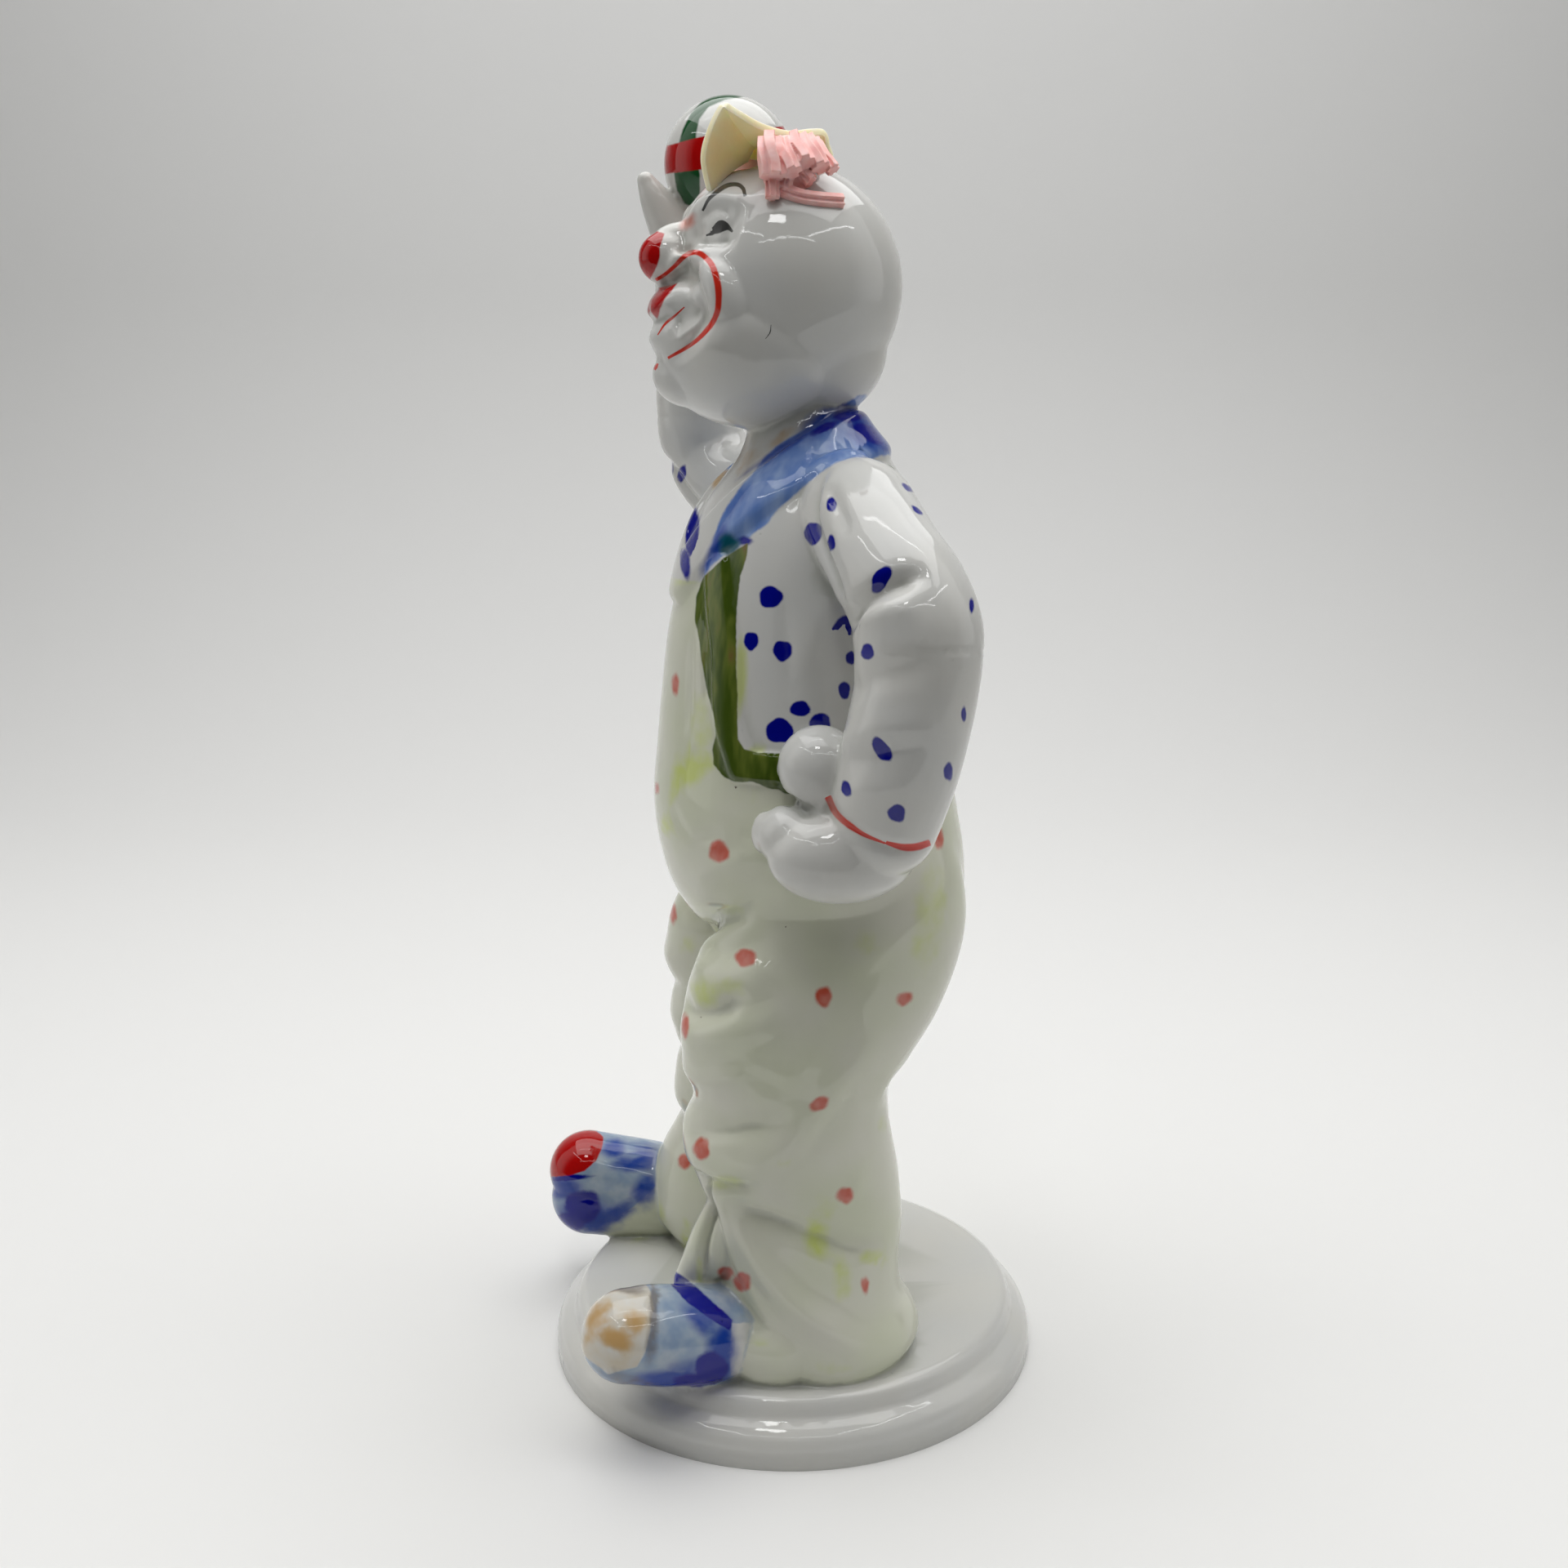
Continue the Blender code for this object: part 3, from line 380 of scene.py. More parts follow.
FINE_FEATURES = (
    (0.5, 1.5, ((6.2, -15.2, 168.6), (8.4, -13.6, 169.4), (10.6, -11.8, 168.4))),
    (-0.45, 0.7, ((5.6, -15.8, 167.4), (8.0, -14.2, 166.9), (10.4, -12.6, 166.8), (12, -11, 167.6))),
    (-0.4, 0.8, ((5.8, -15.4, 170.6), (8.2, -13.4, 171.8), (10.8, -11.4, 170.8))),
    (0.45, 0.9, ((2.6, -20.0, 163.0), (4.2, -19.0, 164.4), (5.6, -17.6, 165.6), (8.2, -16.2, 165.4))),
    (-0.5, 0.8, ((1.8, -21.0, 162.2), (3.6, -19.4, 162.6), (5.2, -18.2, 164.0))),
    (-0.6, 0.8, ((3.6, -19, 166.6), (4.8, -17.8, 166.8), (5.4, -17, 165.4), (4.8, -17.8, 163.8))),
    (0.3, 0.8, ((0, -21.6, 158.0), (3, -20.6, 158.2), (6, -18.8, 159.4))),
    (0.45, 3.0, ((12.5, -13, 158), (14.6, -9.5, 156.4), (15.2, -6, 154), (15.4, -3, 151), (13, 3, 148))),
)

HAIR_GRAIN = 0.12 * MM
HAIR_SOFTNESS = 0.14 * MM
HAT_EDGE = 0.3 * MM
HAT_DEPTH, HAIR_DEPTH = 1.5 * MM, 0.4 * MM  # how deep light goes into the clay

# Colours
WHITE = (0.62, 0.625, 0.61)
WARM_WHITE = (0.64, 0.635, 0.60)
CREAM = (0.66, 0.66, 0.57)
PALE_LIME = (0.61, 0.635, 0.49)
LIME = (0.56, 0.63, 0.20)
BEIGE = (0.52, 0.33, 0.14)
PALE_BEIGE = (0.60, 0.50, 0.34)
SHOE_BLUE = (0.20, 0.30, 0.46)
SHOE_GREY = (0.42, 0.49, 0.56)
PALE_BLUE = (0.26, 0.37, 0.62)
SKY_BLUE = (0.12, 0.22, 0.52)
MID_BLUE = (0.012, 0.05, 0.32)
COBALT = (0.001, 0.003, 0.24)
TEAL = (0.004, 0.09, 0.13)
DARK_OLIVE = (0.05, 0.085, 0.008)
OLIVE = (0.14, 0.18, 0.03)
RED_BROWN = (0.18, 0.10, 0.04)
# The dark colour of the painted shade on the near toe
TOE_SHADE_BROWN = (0.16, 0.14, 0.13)
PINK = (0.52, 0.085, 0.05)
PALE_PINK = (0.60, 0.25, 0.20)
GREEN = (0.008, 0.075, 0.02)
RED = (0.42, 0.004, 0.004)
LINE_RED = (0.60, 0.03, 0.015)
BLACK = (0.02, 0.02, 0.02)
SPECK_BROWN = (0.10, 0.07, 0.05)
HOLLOW_TINT = (0.34, 0.36, 0.30)
HAT_LIGHT, HAT_DARK = (0.97, 0.90, 0.66), (0.95, 0.84, 0.54)
HAIR_LIGHT, HAIR_DARK = (0.96, 0.60, 0.57), (0.88, 0.43, 0.40)

# The stage, real sizes
FLOOR_FRONT = 0.24
FLOOR_BACK = 0.31
COVE_RADIUS = 0.22
COVE_STEPS = 24
WALL_HEIGHT = 1.4
FLOOR_WIDTH = 3.2
FLOOR_COLOUR = (0.79, 0.79, 0.78)
ROOM_COLOUR = (1.0, 0.99, 0.97)
SIDE_LIGHT = 0.82  # how bright the room is at the sides and behind the figurine
ROOM_LIGHT = 0.01  # how bright it is on the camera's side
SIDE_FROM, SIDE_TO = 0.45, 0.0  # cosines of the angles to the camera between which that changes
# Each light: name, where it stands (aside, toward the camera, height), the height that it aims at,
# its width, its depth and its power in watts
LIGHTS = (
    ("overhead", (0.0, -0.10, 0.66), 0.0, 0.8, 0.7, 3.9),
    ("window", (-0.05, 0.22, 0.50), 0.12, 0.08, 0.05, 0.16),
    ("strip_front", (0.0, 0.42, 0.52), 0.12, 0.5, 0.012, 0.13),
    ("strip_left", (-0.30, 0.20, 0.52), 0.12, 0.44, 0.012, 0.13),
    ("strip_right", (0.30, 0.20, 0.52), 0.12, 0.44, 0.012, 0.13),
    ("strip_back", (0.0, 0.02, 0.60), 0.12, 0.5, 0.012, 0.10),
)

# What is painted on the photographed side, in the photo's pixels. Blots: their middle across and
# down, half width, half height and tilt in degrees, and for washes their strength
BLUE_DOTS = (
    (1018, 618, 6, 9, 0), (996, 653, 11, 14, 0), (1018, 665, 5, 10, 0), (1079, 709, 10, 19, 32),
    (944, 731, 15, 14, 0), (920, 785, 9, 11, 0), (958, 797, 12, 13, 0), (1062, 798, 8, 10, 0),
    (1042, 806, 6, 8, 0), (1034, 845, 7, 11, 0), (980, 868, 13, 10, 0), (955, 895, 17, 15, 0),
    (1004, 885, 13, 12, 0), (1080, 918, 9, 17, -35), (1036, 966, 6, 10, -15),
    (1098, 996, 11, 11, 0), (1161, 945, 6, 11, 0), (1111, 597, 3, 8, -52), (1123, 625, 3, 8, -50),
    (1190, 741, 3, 9, 0), (1180, 875, 3, 9, 0), (835, 580, 5, 11, 15), (822, 573, 3, 9, 0),
)
PINK_DOTS = (
    (880, 1043, 12, 14, 0), (913, 1173, 13, 11, 0), (1009, 1221, 10, 12, 0),
    (1107, 1223, 10, 8, -30), (1150, 1027, 6, 13, 0), (824, 1118, 4, 12, 0), (827, 838, 5, 12, 0),
    (804, 966, 3, 6, 0), (839, 1256, 5, 15, 0), (1003, 1352, 13, 8, -30), (859, 1406, 10, 13, 0),
    (838, 1422, 8, 9, 0), (1035, 1464, 11, 10, 0), (909, 1569, 11, 12, 0), (889, 1559, 10, 8, 0),
    (1059, 1573, 5, 10, 0),
)
LIME_WASHES = (
    (846, 942, 30, 15, -28, 1.0), (826, 972, 7, 16, 20, 0.7), (859, 886, 13, 34, 0, 0.6),
    (817, 1010, 9, 13, 0, 0.8), (891, 1115, 22, 7, 0, 0.5), (842, 1156, 9, 12, 0, 0.5),
    (862, 1215, 18, 20, 0, 0.65), (891, 1209, 20, 12, 0, 0.4), (1141, 1109, 22, 46, 0, 0.45),
    (1129, 1159, 17, 26, 0, 0.5), (1062, 1156, 16, 20, 0, 0.4), (921, 974, 18, 10, 0, 0.35),
    (999, 1518, 15, 26, 0, 0.8), (1032, 1566, 12, 28, 0, 0.6), (1014, 1481, 14, 18, 0, 0.35),
    (1068, 1540, 16, 10, 0, 0.7), (960, 1424, 9, 6, 0, 0.4), (1080, 1379, 6, 14, 0, 0.4),
    (888, 1448, 20, 9, 0, 0.5), (838, 1530, 6, 34, 8, 0.7), (856, 1556, 5, 24, 0, 0.6),
    (1026, 1675, 26, 12, 0, 0.35), (929, 1644, 14, 6, 0, 0.4), (809, 1482, 8, 14, 0, 0.4),
    (838, 708, 22, 8, 0, 0.6),
)
STRIPES = ((907, 828, 7, 46, 2, 1.0), (927, 919, 12, 8, -20, 0.8), (790, 1508, 16, 9, -30, 0.9))
MID_BLUES = (
    (1024, 508, 50, 17, -28, 0.9), (1064, 526, 32, 24, 30, 1.0), (1085, 545, 26, 9, 20, 0.8),
    (965, 545, 60, 6, -34, 0.9), (905, 610, 34, 7, -52, 0.5), (875, 672, 8, 34, 25, 0.9),
    (752, 1406, 16, 12, 0, 1.0), (765, 1426, 18, 10, 0, 0.8), (793, 1418, 16, 18, 0, 1.0),
    (792, 1456, 16, 26, 20, 0.9), (752, 1488, 34, 12, -25, 0.9), (716, 1490, 38, 24, 0, 1.0),
    (690, 1456, 24, 14, 0, 1.0), (820, 1690, 52, 13, -4, 1.0), (860, 1616, 32, 15, 40, 0.8),
    (884, 1654, 18, 40, 0, 1.0), (846, 1676, 30, 14, -10, 0.7),
)
DEEP_BLUES = (
    (1046, 502, 27, 13, -20), (1010, 524, 18, 5, -25), (1062, 530, 20, 8, 35), (848, 652, 8, 30, 6),
    (839, 690, 6, 20, -8), (912, 662, 9, 6, 0), (714, 1477, 22, 20, 0), (698, 1497, 18, 13, 0),
    (698, 1442, 26, 4, -4), (870, 1676, 20, 22, 30), (846, 1692, 20, 10, 0),
)
TEALS = ((894, 668, 13, 14, 0, 1.0),)
# Brown paint on the collar, and on the near toe a brown that is painted shade, darker toward the bottom of
# its cap
BEIGES_AND_TOE_SHADE = (
    (884, 585, 16, 7, -52, 1.0), (920, 560, 22, 30, 30, 0.35), (956, 536, 24, 7, -38, 0.6),
    (732, 1615, 14, 26, 20, 0.7), (752, 1640, 22, 12, 20, 1.0), (776, 1622, 12, 16, 0, 0.7),
    (742, 1580, 10, 8, 0, 0.6),
)
# Painted shade on the near shoe's toe: a dark colour along the seam of its cap, over its top and under it
TOE_SHADES = (
    (770, 1576, 28, 8, 8, 0.9), (800, 1600, 5, 34, 0, 1.0), (797, 1645, 8, 26, 8, 0.9),
    (762, 1688, 34, 9, 12, 0.7),
)
TINY_SPECKS = (
    (1037, 1253), (1013, 1302), (945, 1347), (869, 1281), (858, 1246), (963, 1610), (864, 1100),
    (1073, 378), (933, 692), (962, 1135), (901, 964),
)
SPECK_SIZE = 1.8

# Outlines of painted areas. Those of the face, collar and braces serve for both sides
COLLAR = (
    ((1050, 484), (1030, 499), (1010, 510), (990, 523), (970, 534), (950, 547), (935, 561))
    + ((920, 581), (905, 598), (893, 615), (882, 635), (875, 655), (867, 680), (861, 706))
    + ((872, 692), (885, 681), (900, 673), (916, 661), (925, 652), (940, 640), (955, 622))
    + ((975, 605), (990, 591), (1005, 579), (1025, 566), (1045, 560), (1070, 558), (1110, 556))
    + ((1110, 484),)
)
BRACE = (
    ((916, 664), (885, 684), (862, 706), (853, 728), (851, 760), (856, 785), (862, 830))
    + ((873, 875), (877, 900), (872, 918), (874, 936), (886, 952), (900, 958), (922, 957))
    + ((940, 965), (975, 970), (975, 923), (930, 922), (912, 917), (903, 905), (903, 850))
    + ((901, 800), (902, 750), (906, 705), (915, 680))
)
GREEN_ON_BALL = (
    ((928, 112), (905, 110), (880, 114), (860, 124), (846, 138), (836, 158), (829, 185))
    + ((825, 210), (829, 234), (838, 250), (850, 254), (857, 240), (857, 215), (853, 190))
    + ((852, 165), (856, 146), (868, 131), (888, 122), (908, 119))
)
RED_ON_BALL = ((790, 186), (838, 173), (868, 165), (980, 152), (980, 224), (872, 206), (790, 216))
UPPER_LIP = (
    ((788, 372), (796, 359), (806, 352), (817, 350), (829, 347), (822, 357), (813, 368))
    + ((808, 379), (805, 391), (799, 385))
)
NOSE_CAP = ((814, 286), (808, 303), (808, 314), (804, 327), (796, 343), (770, 350), (770, 270))
FAR_TOE = (
    ((660, 1440), (664, 1380), (720, 1376), (739, 1392), (738, 1404), (730, 1421), (716, 1434))
    + ((700, 1439), (680, 1441))
)
FAR_SOLE = ((690, 1509), (740, 1498), (775, 1478), (805, 1450), (830, 1540), (690, 1540))
NEAR_TOE = (
    ((745, 1560), (786, 1566), (797, 1582), (801, 1602), (796, 1630), (790, 1655), (780, 1674))
    + ((745, 1682), (700, 1650), (700, 1580))
)
HEM_OF_SHOE = ((820, 1552), (838, 1563), (897, 1616), (895, 1630), (880, 1622), (842, 1596), (822, 1574))
HEEL = ((897, 1620), (893, 1655), (896, 1700), (930, 1700), (930, 1620))

# Painted lines: half their width at the start, half way and at the end, then where they run
RED_LINES = (
    (
        (2.2, 4.4, 1.8),
        ((804, 342), (814, 336), (826, 326), (839, 313), (850, 309), (860, 312), (870, 322))
        + ((877, 339), (880, 362), (877, 385), (866, 404), (846, 422), (819, 438)),
    ),
    ((0.8, 1.8, 0.8), ((806, 409), (815, 396), (825, 388), (837, 377))),
    ((1.4, 2.4, 1.4), ((802, 452), (805, 446))),
    ((4.4, 4.0, 1.4), ((1014, 976), (1024, 996), (1042, 1012), (1062, 1024), (1082, 1032))),
    ((2.4, 5.0, 4.2), ((1086, 1032), (1104, 1037), (1122, 1037), (1138, 1032))),
)
BLACK_LINES = (
    ((1.5, 3.1, 2.2), ((861, 257), (868, 244), (879, 234), (891, 227), (903, 226), (910, 231), (912, 239))),
    ((1.2, 5.2, 1.4), ((866, 288), (873, 285), (879, 278), (888, 276), (896, 283))),
    ((1.0, 2.6, 1.5), ((873, 279), (881, 272), (889, 274), (895, 281))),
    ((1.2, 3.4, 1.2), ((868, 287), (876, 284), (885, 281), (893, 280))),
    ((0.4, 0.7, 0.4), ((944, 399), (943, 407), (938, 414))),
)
FAR_LID = ((841, 274, 14, 8, -35, 0.8),)
WASHES = {"stripe": STRIPES, "teal": TEALS, "beige_and_toe_shade": BEIGES_AND_TOE_SHADE, "toe_shade": TOE_SHADES, "far_lid": FAR_LID}

# The rest of the paint, in the figure's parts
PIXELS = 8.0  # pixels of the photo to one part, near enough
FACE_FROM, FACE_BACK = 147.0, -5.0  # the face is the head's skin above and in front of these
BIB_TOP, BIB_BACK = 119.5, -3.0
BRACE_BACK, COLLAR_BACK = 2.0, 3.0
COLLAR_HALF = 19.0
BELT_HEIGHT, BELT_FRONT = 94.6, -14.0  # its height at the front, and where that is
BELT_RISE = 0.09  # how much it rises toward the back
BELT_FROM = -10.0  # from here back it is painted as a band, and forward of it with the braces
BIB_HALF = ((94, 17.6), (101, 16.4), (110, 14.0), (117, 11.0), (122, 8.0))  # height, half width
# Spots on the sides that the photo doesn't show: how many, their least and most size, how far apart
HIDDEN_SPOTS = {
    "blue": (44, (1.0 * MM, 1.9 * MM), 7 * MM),
    "pink": (34, (1.0 * MM, 1.6 * MM), 11 * MM),
    "lime": (26, (1.6 * MM, 4.0 * MM), 9 * MM),
}
HIDDEN_FACING = -0.25  # how far a point faces away where such a spot may lie
SCATTER_SEED = 11
PAINT_EDGE = 7.0  # pixels on each side of a painted edge in which the mesh is kept fine
SHARP_EDGES = ("collar", "strap", "toe", "sole", "hem_blue", "blue", "pink", "deep_blue", "red", "green")
OUTSIDE = -30.0  # the depth, in pixels, of what lies outside every blot
FAR_AWAY = 99.0  # pixels, more than any line is wide
LINE_FACING = -0.1  # how far skin may face away where a line that the photo shows is painted
CUFF_REACH = 4.0  # how near the sleeve its cuff line runs on the hidden sides
# How many pixels a colour may run past the edge of the mass that it is painted on
OVERRUN = {"collar": 12, "belt": 10, "strap": 6, "ball": 4, "deep_blue": 2}
SPOT_MARGIN = 10  # pixels from a hidden spot's middle to the edge of its cloth, at the least
BLOT_SPREAD, BLOT_MARGIN = 1.7, 8.0  # a blot's share and the pixels that are searched round it
TURNED_AWAY = -0.12  # where skin faces away so far that an outline ends on it
TURN_PIXELS = 60.0  # how fast it ends there


def in_parts(points):
    """Points in metres as parts of the figure, z from the base's top face."""
    return (points - np.array((0, 0, BASE_HEIGHT))) / PART


def seen_at(points):
    """Where the photo's camera sees each point, in pixels across and down."""
    away = points - EYE
    depth = away @ FORWARD
    across = PHOTO_SIDE * (0.5 + away @ RIGHT / depth)
    down = PHOTO_SIDE * (0.5 - away @ UP / depth)
    return np.stack([across, down], axis=1)


def gap_to_ball(parts, x, y, z, half_x, half_y, half_z):
    """About how far each point is outside a rounded mass, in parts."""
    away = parts - np.array((x, y, z))
    grown = np.linalg.norm(away / np.array((half_x, half_y, half_z)), axis=1)
    return np.linalg.norm(away, axis=1) * (1 - 1 / np.maximum(grown, 1e-6))


def gap_to_tube(parts, rows):
    """How far each point is outside a tube, in parts."""
    rows = curved_rows(rows, 3)
    least = np.full(len(parts), np.inf)
    for start, end in zip(rows, rows[1:]):
        along = end[:3] - start[:3]
        share = np.clip((parts - start[:3]) @ along / (along @ along), 0, 1)
        middle = start[:3] + share[:, None] * along
        radius = start[3] + share * (end[3] - start[3])
        least = np.minimum(least, np.linalg.norm(parts - middle, axis=1) - radius)
    return least


def gap_to_ovals(parts, rows):
    """About how far each point is outside a mass of level ovals, in parts."""
    rows = curved_rows(rows, 3)
    rows = rows[np.argsort(rows[:, 0])]
    z, x, front, back, half = rows.T
    level = np.clip(parts[:, 2], z[0], z[-1])
    middle_x = np.interp(level, z, x)
    front, back = np.interp(level, z, front), np.interp(level, z, back)
    aside, along = parts[:, 0] - middle_x, parts[:, 1] - (front + back) / 2
    grown = np.hypot(aside / np.interp(level, z, half), along / ((back - front) / 2))
    flat = np.hypot(aside, along) * (1 - 1 / np.maximum(grown, 1e-6))
    return np.maximum(flat, np.abs(parts[:, 2] - level))


def gaps_by_group(parts):
    """How far each point is outside each group of masses, by the group's name."""
    balls = {"head": HEAD, "hand": HAND_ON_HIP, "raised_hand": RAISED_HAND, "ball": (BALL,), "legs": HEMS}
    tubes = {
        "sleeves": (LEFT_SLEEVE, RIGHT_SLEEVE),
        "shoes": (LEFT_SHOE, RIGHT_SHOE, RIGHT_SOLE),
        "hand": (LEFT_THUMB,),
        "raised_hand": (RIGHT_THUMB, RIGHT_FINGERS),
        "legs": (HEM_FLAP,),
    }
    ovals = {"trunk": (TRUNK,), "legs": (LEFT_LEG, RIGHT_LEG)}
    gaps = {"base": parts[:, 2]}
    for name, masses in balls.items():
        gaps[name] = np.min([gap_to_ball(parts, *sizes) for sizes in masses], axis=0)
    for found, measure in ((tubes, gap_to_tube), (ovals, gap_to_ovals)):
        for name, tables in found.items():
            nearest = np.min([measure(parts, rows) for rows in tables], axis=0)
            gaps[name] = np.minimum(gaps.get(name, np.inf), nearest)
    return gaps


def in_blot(seen, blot, lobed=0.05):
    """How far each point is inside a blot, in pixels, positive inside."""
    across, down, half_width, half_height, tilt = blot[:5]
    turn = math.radians(tilt)
    away = seen - np.array((across, down))
    u = (away[:, 0] * math.cos(turn) + away[:, 1] * math.sin(turn)) / half_width
    v = (away[:, 1] * math.cos(turn) - away[:, 0] * math.sin(turn)) / half_height
    angle = np.arctan2(v, u)
    edge = 1 + lobed * (np.sin(3 * angle + across) + 0.6 * np.sin(5 * angle + down))
    return (edge - np.hypot(u, v)) * math.sqrt(half_width * half_height)


def in_outline(seen, corners):
    """How far each point is inside a closed outline, in pixels, positive inside."""
    corners = np.array(corners, float)
    least = np.full(len(seen), np.inf)
    inside = np.zeros(len(seen), bool)
    for start, end in zip(corners, np.roll(corners, -1, axis=0)):
        along = end - start
        share = np.clip((seen - start) @ along / (along @ along), 0, 1)
        least = np.minimum(least, np.linalg.norm(seen - start - share[:, None] * along, axis=1))
        crosses = (start[1] > seen[:, 1]) != (end[1] > seen[:, 1])
        slope = along[0] / (along[1] or 1e-9)
        inside ^= crosses & (seen[:, 0] < start[0] + (seen[:, 1] - start[1]) * slope)
    return np.where(inside, least, -least)


def beside_lines(seen, lines):
    """How far each point is to one side of the nearest line, in half widths, and how far from it at
    all, in pixels. The second one grows fast past a line's end."""
    least, side, away = (np.full(len(seen), value) for value in (np.inf, 9.0, FAR_AWAY))
    for widths, path in lines:
        path = curved_rows(path, 5)
        lengths = np.linalg.norm(np.diff(path, axis=0), axis=1)
        passed = np.concatenate([[0], np.cumsum(lengths)]) / lengths.sum()
        halves = np.interp(passed, (0, 0.5, 1), widths)
        for i, length in enumerate(lengths):
            along = (path[i + 1] - path[i]) / length
            reached = (seen - path[i]) @ along
            across = (seen - path[i]) @ np.array((-along[1], along[0]))
            on_it = np.clip(reached, 0, length)
            gap = np.hypot(across, reached - on_it)
            past = np.maximum(0, -reached if i == 0 else reached - length)
            past = past * (i in (0, len(lengths) - 1))
            half = halves[i] + on_it / length * (halves[i + 1] - halves[i])
            nearer = gap < least
            least[nearer] = gap[nearer]
            side[nearer] = (across / half)[nearer]
            away[nearer] = (gap + 3 * past)[nearer]
    return side, away


class Skin:
    """The figure's skin, point by point: where it is, which way it faces and what it belongs to."""

    def __init__(self, obj):
        self.mesh = obj.data
        self.points, self.normals = points_of(obj.data), normals_of(obj.data)
        self.parts = in_parts(self.points)
        self.seen, self.facing = seen_at(self.points), facing(self.points, self.normals)
        to_left = np.where(self.points[:, :1] < 0, (-1, 1, 1), (1, 1, 1))
        self.left_points = self.points * to_left
        self.half_seen = seen_at(self.left_points)
        self.half_facing = facing(self.left_points, self.normals * to_left)
        self.gaps = gaps_by_group(self.parts)
        self.tree = BVHTree.FromObject(obj, bpy.context.evaluated_depsgraph_get())

    def owned(self, *names):
        """How far each point is inside these groups, in pixels, positive inside."""
        own = np.min([self.gaps[name] for name in names], axis=0)
        others = np.min([gap for name, gap in self.gaps.items() if name not in names], axis=0)
        return (others - own) / 2 * PIXELS

    def near(self, blot):
        """Which points are near to what the photo shows at the blot's middle."""
        across, down = blot[0] / PHOTO_SIDE - 0.5, blot[1] / PHOTO_SIDE - 0.5
        ray = FORWARD + RIGHT * across - UP * down
        found = self.tree.ray_cast(Vector(EYE), Vector(ray).normalized())[0]
        if found is None:
            away = np.linalg.norm(self.seen - np.array(blot[:2]), axis=1)
            found = self.points[np.argmin(away + PHOTO_SIDE * (self.facing < 0.05))]
        reach = (BLOT_SPREAD * max(blot[2:4]) + BLOT_MARGIN) / PIXELS * PART
        return np.flatnonzero(np.linalg.norm(self.points - np.array(found), axis=1) < reach)

    def dots(self, blots):
        """How far each point is inside the nearest blot, in pixels, positive inside."""
        inside = np.full(len(self.points), OUTSIDE)
        for blot in blots:
            near = self.near(blot)
            inside[near] = np.maximum(inside[near], in_blot(self.seen[near], blot))
        return inside

    def washes(self, blots):
        """The strength of the strongest wash at each point, from 0 to 1, with soft edges."""
        strongest = np.zeros(len(self.points))
        for blot in blots:
            near = self.near(blot)
            inside = in_blot(self.seen[near], blot) / math.sqrt(blot[2] * blot[3])
            strength = np.clip(0.5 + inside, 0, 1) * blot[5]
            strongest[near] = np.maximum(strongest[near], strength)
        return strongest

    def outlined(self, corners):
        """How far each point is inside an outline and its mirror image, where they can be seen."""
        turned = (self.half_facing - TURNED_AWAY) * TURN_PIXELS
        return np.minimum(in_outline(self.half_seen, corners), turned)

    def band(self, band):
        """How far each point is inside one of the raised bands, in pixels, positive inside."""
        _, reach, path = band
        gap, _ = measured_from(self.left_points, on_surface(self.tree, path))
        return (reach - gap / PART) * PIXELS

    def hidden_spots(self, chance, region, count, sizes, spacing):
        """Where spots lie that the photo doesn't show: middle, direction, size and shape of each."""
        free = np.flatnonzero((self.facing < HIDDEN_FACING) & (region > SPOT_MARGIN))
        spots = []
        for i in chance.permutation(free):
            middle = self.points[i]
            if all(np.linalg.norm(middle - spot[0]) > spacing for spot in spots):
                spots.append((middle, self.normals[i], chance.uniform(*sizes), chance.uniform(0, 9)))
            if len(spots) == count:
                break
        return spots

    def spotted(self, spots, lobed=0.06):
        """How far each point is inside the nearest hidden spot, in pixels, positive inside."""
        inside = np.full(len(self.points), OUTSIDE)
        for middle, normal, radius, turn in spots:
            near = np.flatnonzero(np.linalg.norm(self.points - middle, axis=1) < 3 * radius)
            first = np.cross(normal, (0, 0.6, 0.8))
            first /= np.linalg.norm(first)
            away = self.points[near] - middle
            u, v = away @ first, away @ np.cross(normal, first)
            angle = np.arctan2(v, u)
            edge = 1 + lobed * (np.sin(3 * angle + turn) + 0.6 * np.sin(2 * angle + 2 * turn))
            depth = (edge - np.hypot(u, v) / radius) * radius / PART * PIXELS
            inside[near] = np.maximum(inside[near], depth)
        return inside


def facing(points, normals):
    """How squarely each point faces the photo's camera, from -1 to 1."""
    toward = EYE - points
    return np.einsum("ij,ij->i", normals, toward) / np.linalg.norm(toward, axis=1)


def hollows_of(mesh, points, normals):
    """How hollow the skin is round each point, smoothed, in millimetres."""
    ends = np.empty(len(mesh.edges) * 2, np.int32)
    mesh.edges.foreach_get("vertices", ends)
    start, end = ends.reshape(-1, 2).T
    count = np.bincount(ends, minlength=len(points))[:, None]

    def round_about(values):
        total = np.zeros_like(values)
        for column in range(values.shape[1]):
            total[:, column] += np.bincount(start, values[end, column], len(points))
            total[:, column] += np.bincount(end, values[start, column], len(points))
        return total / np.maximum(count, 1)

    around = points
    for _ in range(4):
        around = round_about(around)
    hollow = np.einsum("ij,ij->i", around - points, normals)[:, None] / MM
    for _ in range(3):
        hollow = round_about(hollow)
    return hollow[:, 0]


def within(*insides):
    """How far each point is inside all of several areas."""
    return np.min(insides, axis=0)


def either(*insides):
    """How far each point is inside at least one of several areas."""
    return np.max(insides, axis=0)


def trousers(skin):
    """How far each point is inside the trousers and their bib, in pixels, positive inside."""
    x, y, z = skin.parts.T
    under_belt = BELT_HEIGHT + BELT_RISE * (y - BELT_FRONT) - z
    heights, halves = zip(*BIB_HALF)
    bib = within(np.interp(z, heights, halves) - np.abs(x), BIB_TOP - z, BIB_BACK - y)
    return within(skin.owned("legs", "trunk"), either(under_belt, bib) * PIXELS)


